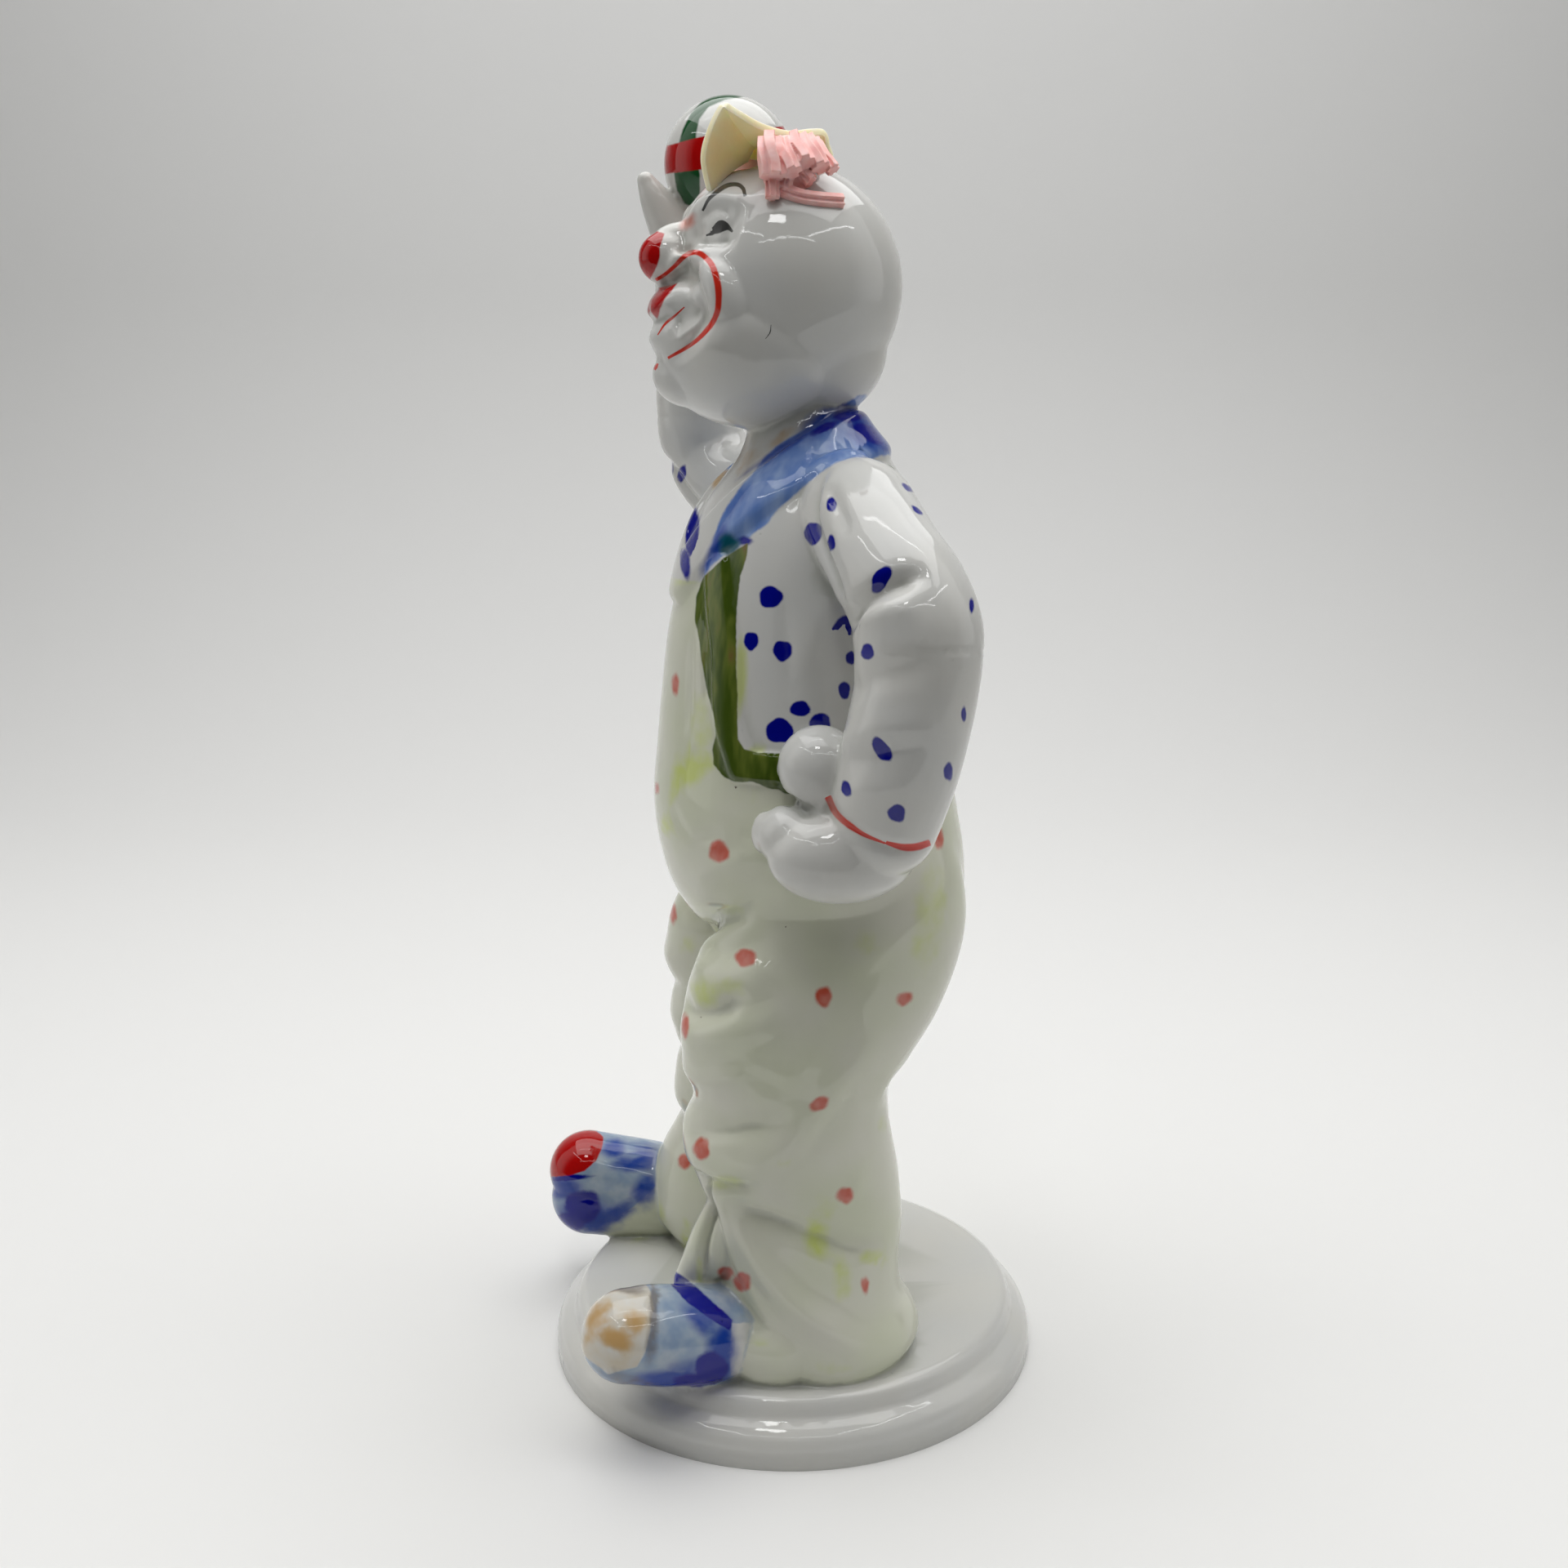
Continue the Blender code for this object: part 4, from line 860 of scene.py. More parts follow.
def ball_paint(skin, corners):
    """An outline painted on the ball, on both sides of it."""
    middle = np.array(place(*BALL[:3]))
    behind = np.minimum(0, (skin.points - middle) @ OUTWARD)
    turned = skin.points - 2 * behind[:, None] * OUTWARD
    return np.minimum(in_outline(seen_at(turned), corners), skin.owned("ball") + OVERRUN["ball"])


def strap_paint(skin):
    """The braces and the belt, as one."""
    y = skin.parts[:, 1]
    front = within(skin.outlined(BRACE), (BRACE_BACK - y) * PIXELS)
    body = skin.owned("trunk", "legs") + OVERRUN["belt"]
    belt = within(skin.band(BELT_BAND), body, (y - BELT_FROM) * PIXELS)
    back = within(skin.band(BACK_BAND), y * PIXELS)
    cloth = skin.owned("trunk", "legs", "sleeves") + OVERRUN["strap"]
    return within(either(front, belt, back), cloth)


def hidden_paint(skin):
    """The spots of paint that the photo doesn't show, by colour."""
    chance = np.random.default_rng(SCATTER_SEED)
    cloth = trousers(skin)
    bare = -either(strap_paint(skin), collar_paint(skin))
    shirt = within(skin.owned("trunk", "sleeves"), -cloth, bare)
    regions = {"blue": shirt, "pink": within(cloth, bare), "lime": within(cloth, bare)}
    return {
        name: skin.hidden_spots(chance, regions[name], *sizes)
        for name, sizes in HIDDEN_SPOTS.items()
    }


def collar_paint(skin):
    """The collar, both its lapels and its back."""
    x, y, _ = skin.parts.T
    back = within(skin.band(COLLAR_BAND), (y - COLLAR_BACK) * PIXELS)
    inside = within(either(skin.outlined(COLLAR), back), (COLLAR_HALF - np.abs(x)) * PIXELS)
    return within(inside, skin.owned("trunk", "sleeves") + OVERRUN["collar"])


def face_lines(skin, lines):
    """Lines of the face on both its sides, and those elsewhere on the side that the photo shows."""
    on_face = (skin.owned("head") > 0) & (skin.parts[:, 1] < FACE_BACK)
    seen = np.where(on_face[:, None], skin.half_seen, skin.seen)
    side, away = beside_lines(seen, lines)
    faces = np.where(on_face, skin.half_facing, skin.facing)
    return side, np.where(faces > LINE_FACING, away, FAR_AWAY)


def cuff_line(skin, side, away):
    """Carries the red line of a cuff on round the sides of the sleeves that the photo doesn't show."""
    hidden = (skin.facing < LINE_FACING) | (skin.parts[:, 0] < 0)
    near_cuff = hidden & (skin.gaps["sleeves"] < CUFF_REACH)
    hands = within(skin.gaps["hand"], skin.gaps["raised_hand"])
    over = (skin.gaps["sleeves"] - hands) * PIXELS
    return np.where(near_cuff, over / 4, side), np.where(near_cuff, np.abs(over) / 2, away)


def paint_values(skin, hidden):
    """How far each point is inside each colour, in pixels, and the strengths of the washes."""
    x = skin.parts[:, 0]
    shirt, cloth = skin.owned("trunk", "sleeves"), skin.owned("trunk", "legs")
    shoes, blues = skin.owned("shoes"), skin.owned("shoes", "trunk")
    near_shoe, far_shoe = np.where(x > 0, shoes, OUTSIDE), np.where(x < 0, shoes, OUTSIDE)
    toe = within(in_outline(skin.seen, NEAR_TOE), near_shoe)
    heel = within(in_outline(skin.seen, HEEL), near_shoe)
    lips_and_nose = either(skin.outlined(UPPER_LIP), skin.outlined(NOSE_CAP))
    red_side, red_away = cuff_line(skin, *face_lines(skin, RED_LINES))
    black_side, black_away = face_lines(skin, BLACK_LINES)
    values = {
        "trousers": trousers(skin),
        "collar": collar_paint(skin),
        "strap": strap_paint(skin),
        "shoe": within(shoes, -toe, -heel),
        "toe": toe,
        "sole": within(in_outline(skin.seen, FAR_SOLE), far_shoe),
        "hem_blue": within(in_outline(skin.seen, HEM_OF_SHOE), skin.owned("shoes", "legs")),
        "blue": within(either(skin.dots(BLUE_DOTS), skin.spotted(hidden["blue"])), shirt),
        "pink": within(either(skin.dots(PINK_DOTS), skin.spotted(hidden["pink"])), cloth),
        "lime": either(
            skin.washes(LIME_WASHES), np.clip(0.3 + skin.spotted(hidden["lime"]) / 30, 0, 0.7)
        ),
        "mid_blue": skin.washes(MID_BLUES) * np.clip(0.5 + blues / 4, 0, 1),
        "deep_blue": within(skin.dots(DEEP_BLUES), blues + OVERRUN["deep_blue"]),
        "red": either(
            within(lips_and_nose, skin.owned("head")),
            ball_paint(skin, RED_ON_BALL),
            within(in_outline(skin.seen, FAR_TOE), far_shoe),
        ),
        "red_side": red_side,
        "red_away": red_away,
        "black": skin.dots([(*speck, SPECK_SIZE, SPECK_SIZE, 0) for speck in TINY_SPECKS]),
        "black_side": black_side,
        "black_away": black_away,
        "green": ball_paint(skin, GREEN_ON_BALL),
        "hollow": hollows_of(skin.mesh, skin.points, skin.normals),
    }
    for name, blots in WASHES.items():
        values[name] = skin.washes(blots)
    return values


def paint_edges(values):
    """Which points lie so near to a painted edge that the mesh is kept fine there."""
    near_line = np.minimum(values["red_away"], values["black_away"])
    nearest = np.min([near_line, *(np.abs(values[name]) for name in SHARP_EDGES)], axis=0)
    return nearest < PAINT_EDGE


def keep_on(mesh, values):
    for name, found in values.items():
        made = mesh.attributes.new(name, "FLOAT", "POINT")
        made.data.foreach_set("value", np.asarray(found, np.float32))


def place(x, y, z):
    """A point of the figure, given in its parts, z from the base's top face."""
    return Vector((x * PART, y * PART, z * PART + BASE_HEIGHT))


def link(name, data):
    """An object for the mesh, the light or the camera, in the scene."""
    made = bpy.data.objects.new(name, data)
    bpy.context.scene.collection.objects.link(made)
    return made


def drawn(name, bm):
    """An object for the mesh that was drawn."""
    mesh = bpy.data.meshes.new(name)
    bm.to_mesh(mesh)
    bm.free()
    return link(name, mesh)


def applied(obj):
    """The object with its modifiers made part of its mesh."""
    graph = bpy.context.evaluated_depsgraph_get()
    mesh = bpy.data.meshes.new_from_object(obj.evaluated_get(graph))
    obj.modifiers.clear()
    obj.data = mesh
    return obj


def curved_rows(rows, steps):
    """Rows of numbers with more rows between them, on a smooth curve through them all."""
    rows = np.array(rows, float)
    ends = np.vstack([2 * rows[0] - rows[1], rows, 2 * rows[-1] - rows[-2]])
    made = []
    for a, b, c, d in zip(ends, ends[1:], ends[2:], ends[3:]):
        for t in np.arange(steps) / steps:
            bent = 2 * b + (c - a) * t + (2 * a - 5 * b + 4 * c - d) * t * t
            made.append((bent + (3 * b - a - 3 * c + d) * t**3) / 2)
    return np.vstack(made + [rows[-1]])


def solid_through(name, rings):
    """A closed solid through rings of points, with its two ends capped."""
    bm = bmesh.new()
    loops = [[bm.verts.new(point) for point in ring] for ring in rings]
    for lower, upper in zip(loops, loops[1:]):
        for i, corner in enumerate(lower):
            j = (i + 1) % len(lower)
            bm.faces.new((corner, lower[j], upper[j], upper[i]))
    bm.faces.new(reversed(loops[0]))
    bm.faces.new(loops[-1])
    bmesh.ops.recalc_face_normals(bm, faces=bm.faces)
    return drawn(name, bm)


def oval(sides, half_x, half_y):
    """The points of an oval round the origin."""
    turns = [2 * math.pi * i / sides for i in range(sides)]
    return [(half_x * math.cos(turn), half_y * math.sin(turn)) for turn in turns]


def level_ovals(name, rows, sides=64, steps=6):
    """A mass drawn as level ovals, each rounder or flatter at its front and back."""
    rings = []
    for z, x, front, back, half in curved_rows(rows, steps):
        middle, reach = (front + back) / 2, (back - front) / 2
        rings.append([place(x + u, middle + v, z) for u, v in oval(sides, half, reach)])
    return solid_through(name, rings)


def along_path(points, i):
    """The way a path runs at one of its points."""
    return points[min(i + 1, len(points) - 1)] - points[max(i - 1, 0)]


def tube(name, rows, sides=32, steps=6):
    """A tube whose radius changes along its middle line."""
    rows = curved_rows(rows, steps)
    points = [place(x, y, z) for x, y, z, _ in rows]
    rings = []
    for i, point in enumerate(points):
        turn = along_path(points, i).normalized().to_track_quat("Z", "Y")
        radius = rows[i][3] * PART
        rings.append([point + turn @ Vector((u, v, 0)) for u, v in oval(sides, radius, radius)])
    return solid_through(name, rings)


def rounded_mass(name, x, y, z, half_x, half_y, half_z, around=56, down=36):
    bm = bmesh.new()
    bmesh.ops.create_uvsphere(bm, u_segments=around, v_segments=down, radius=1.0)
    size = Matrix.Diagonal((half_x * PART, half_y * PART, half_z * PART, 1))
    bm.transform(Matrix.Translation(place(x, y, z)) @ size)
    return drawn(name, bm)


def base_mass(sides=160):
    """The two tiers of the base. It starts below the underside, where it is cut flat at the end."""
    rows = (
        (-BELOW_BASE, 0),
        (STEP_HEIGHT - 2 * EDGE_ROUND, 0),
        (STEP_HEIGHT - EDGE_ROUND, 0.2 * STEP_INSET),
        (STEP_HEIGHT - 0.4 * EDGE_ROUND, 0.6 * STEP_INSET),
        (STEP_HEIGHT, STEP_INSET),
        (BASE_HEIGHT - EDGE_ROUND, 1.05 * STEP_INSET),
        (BASE_HEIGHT - 0.3 * EDGE_ROUND, STEP_INSET + 0.4 * EDGE_ROUND),
        (BASE_HEIGHT, STEP_INSET + EDGE_ROUND),
    )
    rings = []
    for z, inset in rows:
        corners = oval(sides, BASE_LENGTH / 2 - inset, BASE_WIDTH / 2 - inset)
        rings.append([Vector((x, y, z)) for x, y in corners])
    return solid_through("base_mass", rings)


def fused(name, masses, grain, softness):
    """All the masses as one skin, its corners rounded as glaze rounds them."""
    bm = bmesh.new()
    for mass in masses:
        bm.from_mesh(mass.data)
    made = drawn(name, bm)
    for mass in masses:
        bpy.data.objects.remove(mass)
    remesh = made.modifiers.new("fuse", "REMESH")
    remesh.mode = "VOXEL"
    remesh.voxel_size = grain
    smooth = made.modifiers.new("soften", "SMOOTH")
    smooth.factor = 0.5
    smooth.iterations = max(1, round((softness / grain) ** 2))
    return applied(made)


def read_points(items, name="co"):
    found = np.empty(len(items) * 3, np.float32)
    items.foreach_get(name, found)
    return found.reshape(-1, 3).astype(float)


def points_of(mesh):
    return read_points(mesh.vertices)


def normals_of(mesh):
    return read_points(mesh.vertex_normals, "vector")


def set_points(mesh, points):
    mesh.vertices.foreach_set("co", points.astype(np.float32).ravel())
    mesh.update()


def measured_from(points, path):
    """How far each point is from a path of straight stretches, and at what share of its length."""
    least = np.full(len(points), np.inf)
    share = np.zeros(len(points))
    lengths = [np.linalg.norm(end - start) for start, end in zip(path, path[1:])]
    passed = 0.0
    for start, end, length in zip(path, path[1:], lengths):
        along = (end - start) / max(length, 1e-9)
        reached = np.clip((points - start) @ along, 0, length)
        gap = np.linalg.norm(points - start - reached[:, None] * along, axis=1)
        nearer = gap < least
        least[nearer] = gap[nearer]
        share[nearer] = ((passed + reached) / sum(lengths))[nearer]
        passed += length
    return least, share


def on_surface(tree, path):
    """The path, with more points on a smooth curve, laid on the surface."""
    points = [place(*row) for row in curved_rows(path, 6)]
    return np.array([tree.find_nearest(point)[0] for point in points])


def both_sides(rows):
    """The rows with their mirror images."""
    mirrored = [(*rest, [(-x, y, z) for x, y, z in path]) for *rest, path in rows]
    return [*rows, *mirrored]


def round_path(points, path, margin):
    """Which points lie within the margin of the path's box."""
    low, high = path.min(axis=0) - margin, path.max(axis=0) + margin
    return np.flatnonzero(np.all((points > low) & (points < high), axis=1))


def strokes(points, tree, paths, margin):
    """Lays each path on the surface. Gives which points are near it, its height, how far each of
    them is from it in reaches, and at what share of its length."""
    for height, reach, path in paths:
        path = on_surface(tree, path)
        near = round_path(points, path, margin * reach * PART)
        gap, share = measured_from(points[near], path)
        yield near, height, gap / (reach * PART), share


def fold(height, gap, share):
    """How high a fold stands, round across and dying away toward its ends."""
    fade = np.clip(np.minimum(share, 1 - share) / FOLD_FADE, 0, 1)
    return height * fade * np.exp(-(gap**2))


def work_surface(obj):
    """Presses folds and features into the soft clay, and raises the collar, braces and belt."""
    tree = BVHTree.FromObject(obj, bpy.context.evaluated_depsgraph_get())
    points, normals = points_of(obj.data), normals_of(obj.data)
    raised, pressed, finer = np.zeros((3, len(points)))
    for near, *sizes in strokes(points, tree, (*FOLDS, *both_sides(FEATURES)), 3):
        raised[near] = np.maximum(raised[near], fold(*sizes))
        pressed[near] = np.minimum(pressed[near], fold(*sizes))
    for near, *sizes in strokes(points, tree, (*FINE_FOLDS, *both_sides(FINE_FEATURES)), 3):
        finer[near] += fold(*sizes)
    for near, height, gap, _ in strokes(points, tree, both_sides(BANDS), 2):
        raised[near] = np.maximum(raised[near], height * np.exp(-(gap**BAND_EDGE)))
    set_points(obj.data, points + normals * ((raised + pressed + finer) * PART)[:, None])


def largest_skin(obj):
    """Keeps the largest of the object's separate skins, so that no void is left inside it."""
    bm = bmesh.new()
    bm.from_mesh(obj.data)
    left, skins = set(bm.verts), []
    while left:
        skin, edge = set(), [left.pop()]
        while edge:
            vert = edge.pop()
            skin.add(vert)
            found = {side.other_vert(vert) for side in vert.link_edges} & left
            left -= found
            edge.extend(found)
        skins.append(skin)
    largest = max(skins, key=len)
    stray = [vert for vert in bm.verts if vert not in largest]
    bmesh.ops.delete(bm, geom=stray, context="VERTS")
    bm.to_mesh(obj.data)
    bm.free()
    return obj


def thinned(obj, faces, free):
    """The same form in fewer triangles, thinned only where the points are marked free."""
    group = obj.vertex_groups.new(name="free")
    group.add([int(i) for i in np.flatnonzero(free)], 1.0, "REPLACE")
    obj.data.calc_loop_triangles()
    fewer = obj.modifiers.new("thin", "DECIMATE")
    fewer.ratio = min(1.0, faces / len(obj.data.loop_triangles))
    fewer.vertex_group = group.name
    fewer.use_collapse_triangulate = True
    applied(obj)
    obj.vertex_groups.clear()
    return obj


def cut_flat(obj):
    """Cuts the object flat at the underside and closes it there."""
    bm = bmesh.new()
    bm.from_mesh(obj.data)
    everything = bm.verts[:] + bm.edges[:] + bm.faces[:]
    bmesh.ops.bisect_plane(
        bm, geom=everything, plane_co=(0, 0, 0), plane_no=(0, 0, 1), clear_inner=True
    )
    rim = [edge for edge in bm.edges if edge.is_boundary]
    bmesh.ops.contextual_create(bm, geom=rim)
    bmesh.ops.triangulate(bm, faces=bm.faces[:])
    bmesh.ops.recalc_face_normals(bm, faces=bm.faces)
    bm.to_mesh(obj.data)
    bm.free()


def make_figure():
    """The cast figure with its base and ball, its paint kept on its mesh."""
    ends = [rows[0] for rows in TUBES] + [rows[-1] for rows in TUBES]
    masses = [base_mass()]
    masses += [level_ovals("ovals", rows) for rows in (TRUNK, LEFT_LEG, RIGHT_LEG)]
    masses += [tube("tube", rows) for rows in TUBES]
    masses += [rounded_mass("end", *end, end[-1], end[-1]) for end in ends]
    masses += [rounded_mass("mass", *sizes) for sizes in MASSES]
    figure = largest_skin(fused("porcelain_clown", masses, GRAIN, SOFTNESS))
    work_surface(figure)
    skin = Skin(figure)
    hidden = hidden_paint(skin)
    fine = paint_edges(paint_values(skin, hidden))
    fine |= (skin.parts[:, 2] > FACE_FROM) & (skin.parts[:, 1] < FACE_BACK)
    thinned(figure, FIGURE_FACES, ~fine)
    cut_flat(figure)
    figure.data.shade_smooth()
    keep_on(figure.data, paint_values(Skin(figure), hidden))
    return figure


class Nodes:
    """A tree of nodes, with short ways to add to it."""

    def __init__(self, tree):
        self.nodes, self.links = tree.nodes, tree.links

    def feed(self, socket, value):
        """Links another node's output to the socket, or sets the socket's own value."""
        if isinstance(value, bpy.types.NodeSocket):
            self.links.new(value, socket)
        else:
            socket.default_value = value

    def node(self, kind, settings=(), inputs=()):
        made = self.nodes.new("ShaderNode" + kind)
        for name, value in dict(settings).items():
            setattr(made, name, value)
        for key, value in dict(inputs).items():
            self.feed(made.inputs[key], value)
        return made

    def step(self, value, low, high, below=0.0, above=1.0):
        """One value below the low limit, the other above the high one, and smooth between them."""
        inputs = {"Value": value, "From Min": low, "From Max": high, "To Min": below, "To Max": above}
        return self.node("MapRange", {"interpolation_type": "SMOOTHSTEP"}, inputs).outputs[0]


class Layers(Nodes):
    """A material whose colour is built up in layers."""

    def __init__(self, name):
        self.material = bpy.data.materials.new(name)
        self.material.use_nodes = True
        super().__init__(self.material.node_tree)
        self.shader = self.nodes["Principled BSDF"]
        self.place = self.node("TexCoord").outputs["Object"]

    def maths(self, operation, first, second=0.0):
        return self.node("Math", {"operation": operation}, {0: first, 1: second}).outputs[0]

    def product(self, first, second):
        return self.maths("MULTIPLY", first, second)

    def noise(self, size, detail=2.0, stretch=(1, 1, 1)):
        """Noise from about -0.5 to 0.5, with blotches of about the given size in metres."""
        spot = self.node("Mapping", inputs={"Vector": self.place, "Scale": stretch})
        inputs = {"Vector": spot.outputs[0], "Scale": 0.5 / size, "Detail": detail}
        return self.maths("SUBTRACT", self.node("TexNoise", inputs=inputs).outputs["Fac"], 0.5)

    def mixed(self, share, first, second):
        mix = self.node("Mix", {"data_type": "RGBA"}, {0: share})
        for index, colour in ((6, first), (7, second)):
            self.feed(mix.inputs[index], (*colour, 1) if isinstance(colour, tuple) else colour)
        return mix.outputs[2]

    def blend(self, noise, low, high, first, second):
        """Two colours that take turns as the noise goes from low to high."""
        return self.mixed(self.step(noise, low, high), first, second)

    def finished(self, colour, relief, strength, depth, settings):
        """The material with its colour, its fine relief and the shader's own settings."""
        bump = self.node("Bump", inputs={"Strength": strength, "Distance": depth, "Height": relief})
        self.links.new(colour, self.shader.inputs["Base Color"])
        self.links.new(bump.outputs[0], self.shader.inputs["Normal"])
        for name, value in settings.items():
            self.shader.inputs[name].default_value = value
        return self.material


class Paint(Layers):
    """A material with paint whose edges are a little ragged, as a brush leaves them."""

    def __init__(self, name):
        super().__init__(name)
        self.brush = self.noise(1.6 * MM)
        fine = self.product(self.noise(0.5 * MM), 2.0)
        self.ragged = self.maths("ADD", fine, self.product(self.brush, 4.0))

    def kept(self, name, noise=0.0, share=0.0):
        """A number kept on the mesh, with a share of the noise added to it."""
        number = self.node("Attribute", {"attribute_name": name}).outputs["Fac"]
        return self.maths("ADD", number, self.product(noise, share)) if share else number

    def inside(self, name, soft=1.4, wobble=1.0):
        """What lies inside a painted edge that is soft by so many pixels."""
        return self.step(self.kept(name, self.ragged, wobble), -soft, soft)

    def washed(self, name, strength=1.0, patchy=1.2):
        """A thin wash that covers in patches."""
        spread = self.step(self.kept(name, self.brush, patchy), 0.1, 1.0)
        only = self.step(self.kept(name), 0.0, 0.12)
        return self.product(self.product(spread, only), strength)

    def line(self, name):
        """A painted line: full within its width, and gone past its ends."""
        side = self.maths("ABSOLUTE", self.kept(name + "_side", self.brush, 0.5))
        across = self.step(side, 0.7, 1.25, 1.0, 0.0)
        return self.product(across, self.step(self.kept(name + "_away"), 5.0, 7.0, 1.0, 0.0))


def porcelain():
    """White glazed porcelain, each painted colour laid over those before it."""
    coat = Paint("glazed_porcelain")
    brush, cloud = coat.brush, coat.noise(7 * MM)
    streaks = coat.noise(1.2 * MM, stretch=(1, 1, 0.25))
    cloth, toe = coat.inside("trousers", 2.5), coat.inside("toe")
    olive = coat.blend(streaks, -0.12, 0.2, DARK_OLIVE, OLIVE)
    layers = (
        (cloth, coat.blend(cloud, -0.25, 0.25, CREAM, PALE_LIME)),
        (coat.product(coat.washed("lime", 1.0, 0.8), cloth), LIME),
        (coat.washed("stripe", 0.8, 0.4), LIME),
        # brown paint on the collar, and brown painted shade low on the near toe cap
        (coat.washed("beige_and_toe_shade", 0.8), BEIGE),
        (coat.product(toe, coat.step(brush, -0.4, 0.5)), PALE_BEIGE),
        # the brown painted shade low on the near toe cap, laid on again there
        (coat.product(coat.washed("beige_and_toe_shade"), toe), BEIGE),
        (coat.product(coat.inside("shoe", 1.5), 0.9), coat.blend(brush, -0.2, 0.3, SHOE_BLUE, SHOE_GREY)),
        (coat.inside("sole"), PALE_LIME),
        (coat.inside("collar", 2.0), coat.blend(streaks, -0.18, 0.3, SKY_BLUE, PALE_BLUE)),
        (coat.washed("mid_blue", 1.0, 0.8), MID_BLUE),
        (coat.inside("hem_blue"), COBALT),
        (coat.inside("deep_blue", 3.0, 1.5), COBALT),
        (coat.washed("teal"), TEAL),
        (coat.inside("strap", 1.2, 0.7), coat.blend(streaks, 0.08, 0.28, olive, RED_BROWN)),
        # painted shade on the near toe, along the seam of its cap, over its top and under it
        (coat.washed("toe_shade", 0.8), TOE_SHADE_BROWN),
        (coat.inside("blue", 1.5, 0.8), COBALT),
        (coat.inside("pink", 3.0, 1.3), coat.blend(brush, -0.3, 0.2, PALE_PINK, PINK)),
        (coat.washed("far_lid"), PALE_PINK),
        (coat.inside("green", 1.5, 0.5), GREEN),
        (coat.inside("red", 1.2, 0.5), RED),
        (coat.line("red"), LINE_RED),
        (coat.product(coat.line("black"), 0.93), BLACK),
        (coat.inside("black", 1.0, 0.3), SPECK_BROWN),
        (coat.product(coat.step(coat.kept("hollow"), 0.015, 0.12), 0.35), HOLLOW_TINT),
    )
    colour = coat.blend(cloud, -0.3, 0.3, WHITE, WARM_WHITE)
    for share, paint in layers:
        colour = coat.mixed(share, colour, paint)
    settings = {"Roughness": 0.05, "Specular IOR Level": 0.46}
    return coat.finished(colour, coat.noise(4 * MM, 1.0), 0.25, 0.4 * MM, settings)


def clay(name, light, dark, roughness, size, depth):
    """Coloured clay, a little uneven."""
    coat = Layers(name)
    colour = coat.blend(coat.noise(size, 3.0), -0.25, 0.2, dark, light)
    settings = {
        "Roughness": roughness,
        "Subsurface Weight": 0.6,
        "Subsurface Radius": (1.0, 0.8, 0.6),
        "Subsurface Scale": depth,
    }
    return coat.finished(colour, coat.noise(0.4 * MM), 0.3, 0.1 * MM, settings)


def make_hat(rings=16, steps=10):
    """A thin sheet from its middle to the rim, with a low crown, turned up at the sides."""
    rim = curved_rows(HAT_RIM + HAT_RIM[:1], steps)[:-1]
    middle = np.array(HAT_MIDDLE)
    bm = bmesh.new()
    centre = bm.verts.new(place(*(middle + (0, 0, CROWN_HEIGHT))))
    loops = []
    for ring in range(1, rings + 1):
        share = ring / rings
        crown = max(0.0, 1 - (share / CROWN_SHARE) ** 4)
        loop = []
        for edge in rim:
            point = middle + (edge - middle) * share
            point[2] = middle[2] + (edge[2] - middle[2]) * share**2 + CROWN_HEIGHT * crown
            loop.append(bm.verts.new(place(*point)))
        loops.append(loop)
    for i, corner in enumerate(loops[0]):
        bm.faces.new((centre, corner, loops[0][(i + 1) % len(rim)]))
    for inner, outer in zip(loops, loops[1:]):
        for i, corner in enumerate(inner):
            j = (i + 1) % len(inner)
            bm.faces.new((corner, outer[i], outer[j], inner[j]))
    bmesh.ops.recalc_face_normals(bm, faces=bm.faces)
    hat = drawn("clay_hat", bm)
    shell = hat.modifiers.new("thickness", "SOLIDIFY")
    shell.thickness = HAT_THICKNESS
    shell.offset = 0.0
    rounding = hat.modifiers.new("rim", "BEVEL")
    rounding.width = HAT_EDGE
    rounding.segments = 3
    rounding.limit_method = "ANGLE"
    applied(hat).data.shade_smooth()
    return hat


def cross_section(share):
    """The corners of a strand's section: a cross of two ribs."""
    near, far = RIB_WIDTH / 2, STRAND_WIDTH / 2
    corners = [(near, near), (near, far), (-near, far), (-near, near), (-far, near), (-far, -near)]
    corners += [(-a, -b) for a, b in corners]
    return [Vector((a * share, b * share, 0)) for a, b in corners]


def strand(share, turned, path, side):
    """One strand pressed through a cross-shaped hole, so that ribs run along it."""
    points = [place(side * x, y, z) for x, y, z in curved_rows(path, 6)]
    spin = Quaternion((0, 0, 1), math.radians(turned))
    rings = []
    for i, point in enumerate(points):
        turn = along_path(points, i).to_track_quat("Z", "Y") @ spin
        rings.append([point + turn @ corner for corner in cross_section(share)])
    return solid_through("strand", rings)


def make_tuft(name, side):
    """A tuft of strands that hang from their roots under the hat's brim."""
    masses = [rounded_mass("root", side * x, *rest) for x, *rest in TUFT_ROOTS]
    masses += [strand(*sizes, side) for sizes in STRANDS]
    tuft = fused(name, masses, HAIR_GRAIN, HAIR_SOFTNESS)
    tuft.data.shade_smooth()
    return tuft


def plain(name, colour, roughness):
    made = bpy.data.materials.new(name)
    made.use_nodes = True
    shader = made.node_tree.nodes["Principled BSDF"]
    shader.inputs["Base Color"].default_value = (*colour, 1)
    shader.inputs["Roughness"].default_value = roughness
    return made


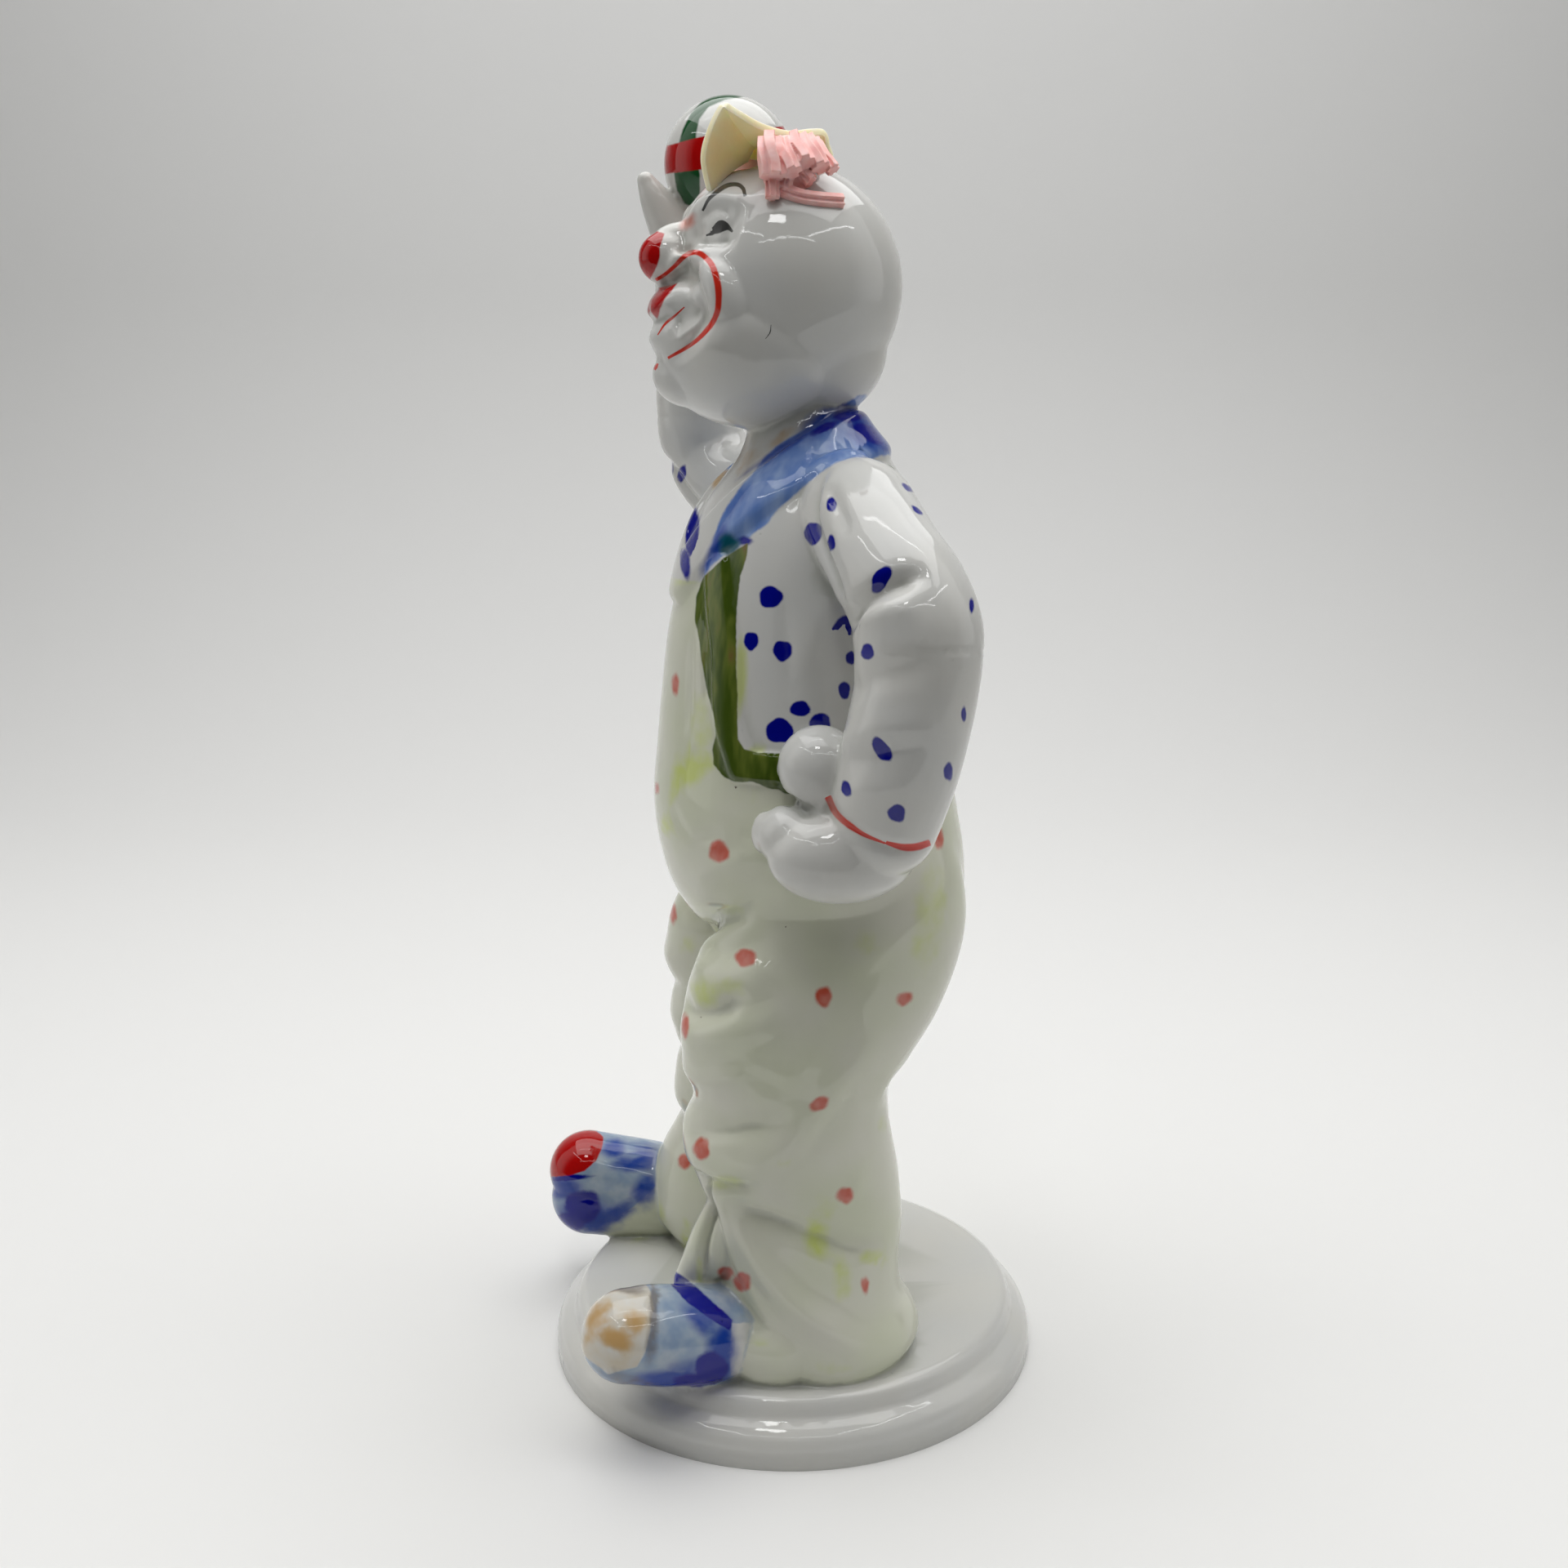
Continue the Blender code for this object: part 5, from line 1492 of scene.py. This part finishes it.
def make_floor():
    """A pale floor that curves up into a wall behind the figurine, on one long sheet."""
    profile = [(-FLOOR_FRONT, 0.0), (FLOOR_BACK, 0.0)]
    for i in range(1, COVE_STEPS + 1):
        turn = i / COVE_STEPS * math.pi / 2
        across, up = COVE_RADIUS * math.sin(turn), COVE_RADIUS * (1 - math.cos(turn))
        profile.append((FLOOR_BACK + across, up))
    profile.append((FLOOR_BACK + COVE_RADIUS, WALL_HEIGHT))
    bm = bmesh.new()
    rows = []
    for reach, height in profile:
        middle = np.array((0, 0, height)) - OUTWARD * reach
        rows.append([bm.verts.new(middle + RIGHT * side * FLOOR_WIDTH / 2) for side in (-1, 1)])
    for (a, b), (c, d) in zip(rows, rows[1:]):
        bm.faces.new((a, b, d, c))
    bmesh.ops.recalc_face_normals(bm, faces=bm.faces)
    floor = drawn("floor", bm)
    floor.data.shade_smooth()
    floor.data.materials.append(plain("floor", FLOOR_COLOUR, 0.75))
    return floor


def soft_light(name, spot, aim, width, height, power):
    data = bpy.data.lights.new(name, "AREA")
    data.shape = "RECTANGLE"
    data.size, data.size_y = width, height
    data.energy = power
    made = link(name, data)
    made.location = spot
    made.rotation_euler = (Vector(aim) - Vector(spot)).to_track_quat("-Z", "Y").to_euler()


def set_light():
    """Light comes down from a wide soft box and in from the bright sides of the room. Thin strips
    over the figurine show as bright outlines in the glaze."""
    world = bpy.data.worlds.new("room")
    bpy.context.scene.world = world
    world.use_nodes = True
    room = Nodes(world.node_tree)
    back = room.nodes["Background"]
    back.inputs["Color"].default_value = (*ROOM_COLOUR, 1)
    way = room.node("TexCoord").outputs["Generated"]
    toward = room.node("VectorMath", {"operation": "DOT_PRODUCT"}, {0: way, 1: OUTWARD})
    strength = room.step(toward.outputs["Value"], SIDE_TO, SIDE_FROM, SIDE_LIGHT, ROOM_LIGHT)
    room.links.new(strength, back.inputs["Strength"])
    for name, (across, away, height), aim, width, depth, power in LIGHTS:
        spot = RIGHT * across + OUTWARD * away + np.array((0, 0, height))
        soft_light(name, spot, (0, 0, aim), width, depth, power)


def set_camera():
    data = bpy.data.cameras.new("camera")
    data.sensor_width = FILM
    data.lens = FILM
    data.clip_start = 0.01
    camera = link("camera", data)
    camera.location = Vector(EYE)
    camera.rotation_euler = Vector(FORWARD).to_track_quat("-Z", "Y").to_euler()
    bpy.context.scene.camera = camera


def write_sizes(solids, pieces):
    """Goes through the corners of the box of the solids and of the box of the pieces, in metres, and keeps
    nothing.
    """
    for name, box in (("solids", solids), ("pieces", pieces)):
        [[float(value) for value in corner] for corner in box]


def main():
    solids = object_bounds()
    figure = make_figure()
    figure.data.materials.append(porcelain())
    hat = make_hat()
    hat.data.materials.append(clay("yellow_clay", HAT_LIGHT, HAT_DARK, 0.38, 3 * MM, HAT_DEPTH))
    pink = clay("pink_clay", HAIR_LIGHT, HAIR_DARK, 0.5, 1 * MM, HAIR_DEPTH)
    tufts = [make_tuft("clay_hair_left", 1), make_tuft("clay_hair_right", -1)]
    for tuft in tufts:
        tuft.data.materials.append(pink)
    floor = make_floor()
    set_light()
    set_camera()
    for piece, node, slot in (
        (figure, "figure", "glazed_porcelain"),
        (hat, "hat", "hat_clay"),
        (tufts[0], "hair_left", "hair_clay"),
        (tufts[1], "hair_right", "hair_clay"),
    ):
        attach(piece, "root")
        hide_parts(node)
    floor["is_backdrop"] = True
    bpy.context.scene.view_settings.view_transform = "Standard"
    write_sizes(solids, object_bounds())


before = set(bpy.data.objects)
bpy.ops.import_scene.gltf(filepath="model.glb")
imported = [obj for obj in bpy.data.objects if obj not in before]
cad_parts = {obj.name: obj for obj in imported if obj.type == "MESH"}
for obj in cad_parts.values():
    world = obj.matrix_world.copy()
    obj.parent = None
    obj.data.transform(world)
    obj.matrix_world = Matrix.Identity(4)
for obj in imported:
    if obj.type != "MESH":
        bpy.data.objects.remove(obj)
main()
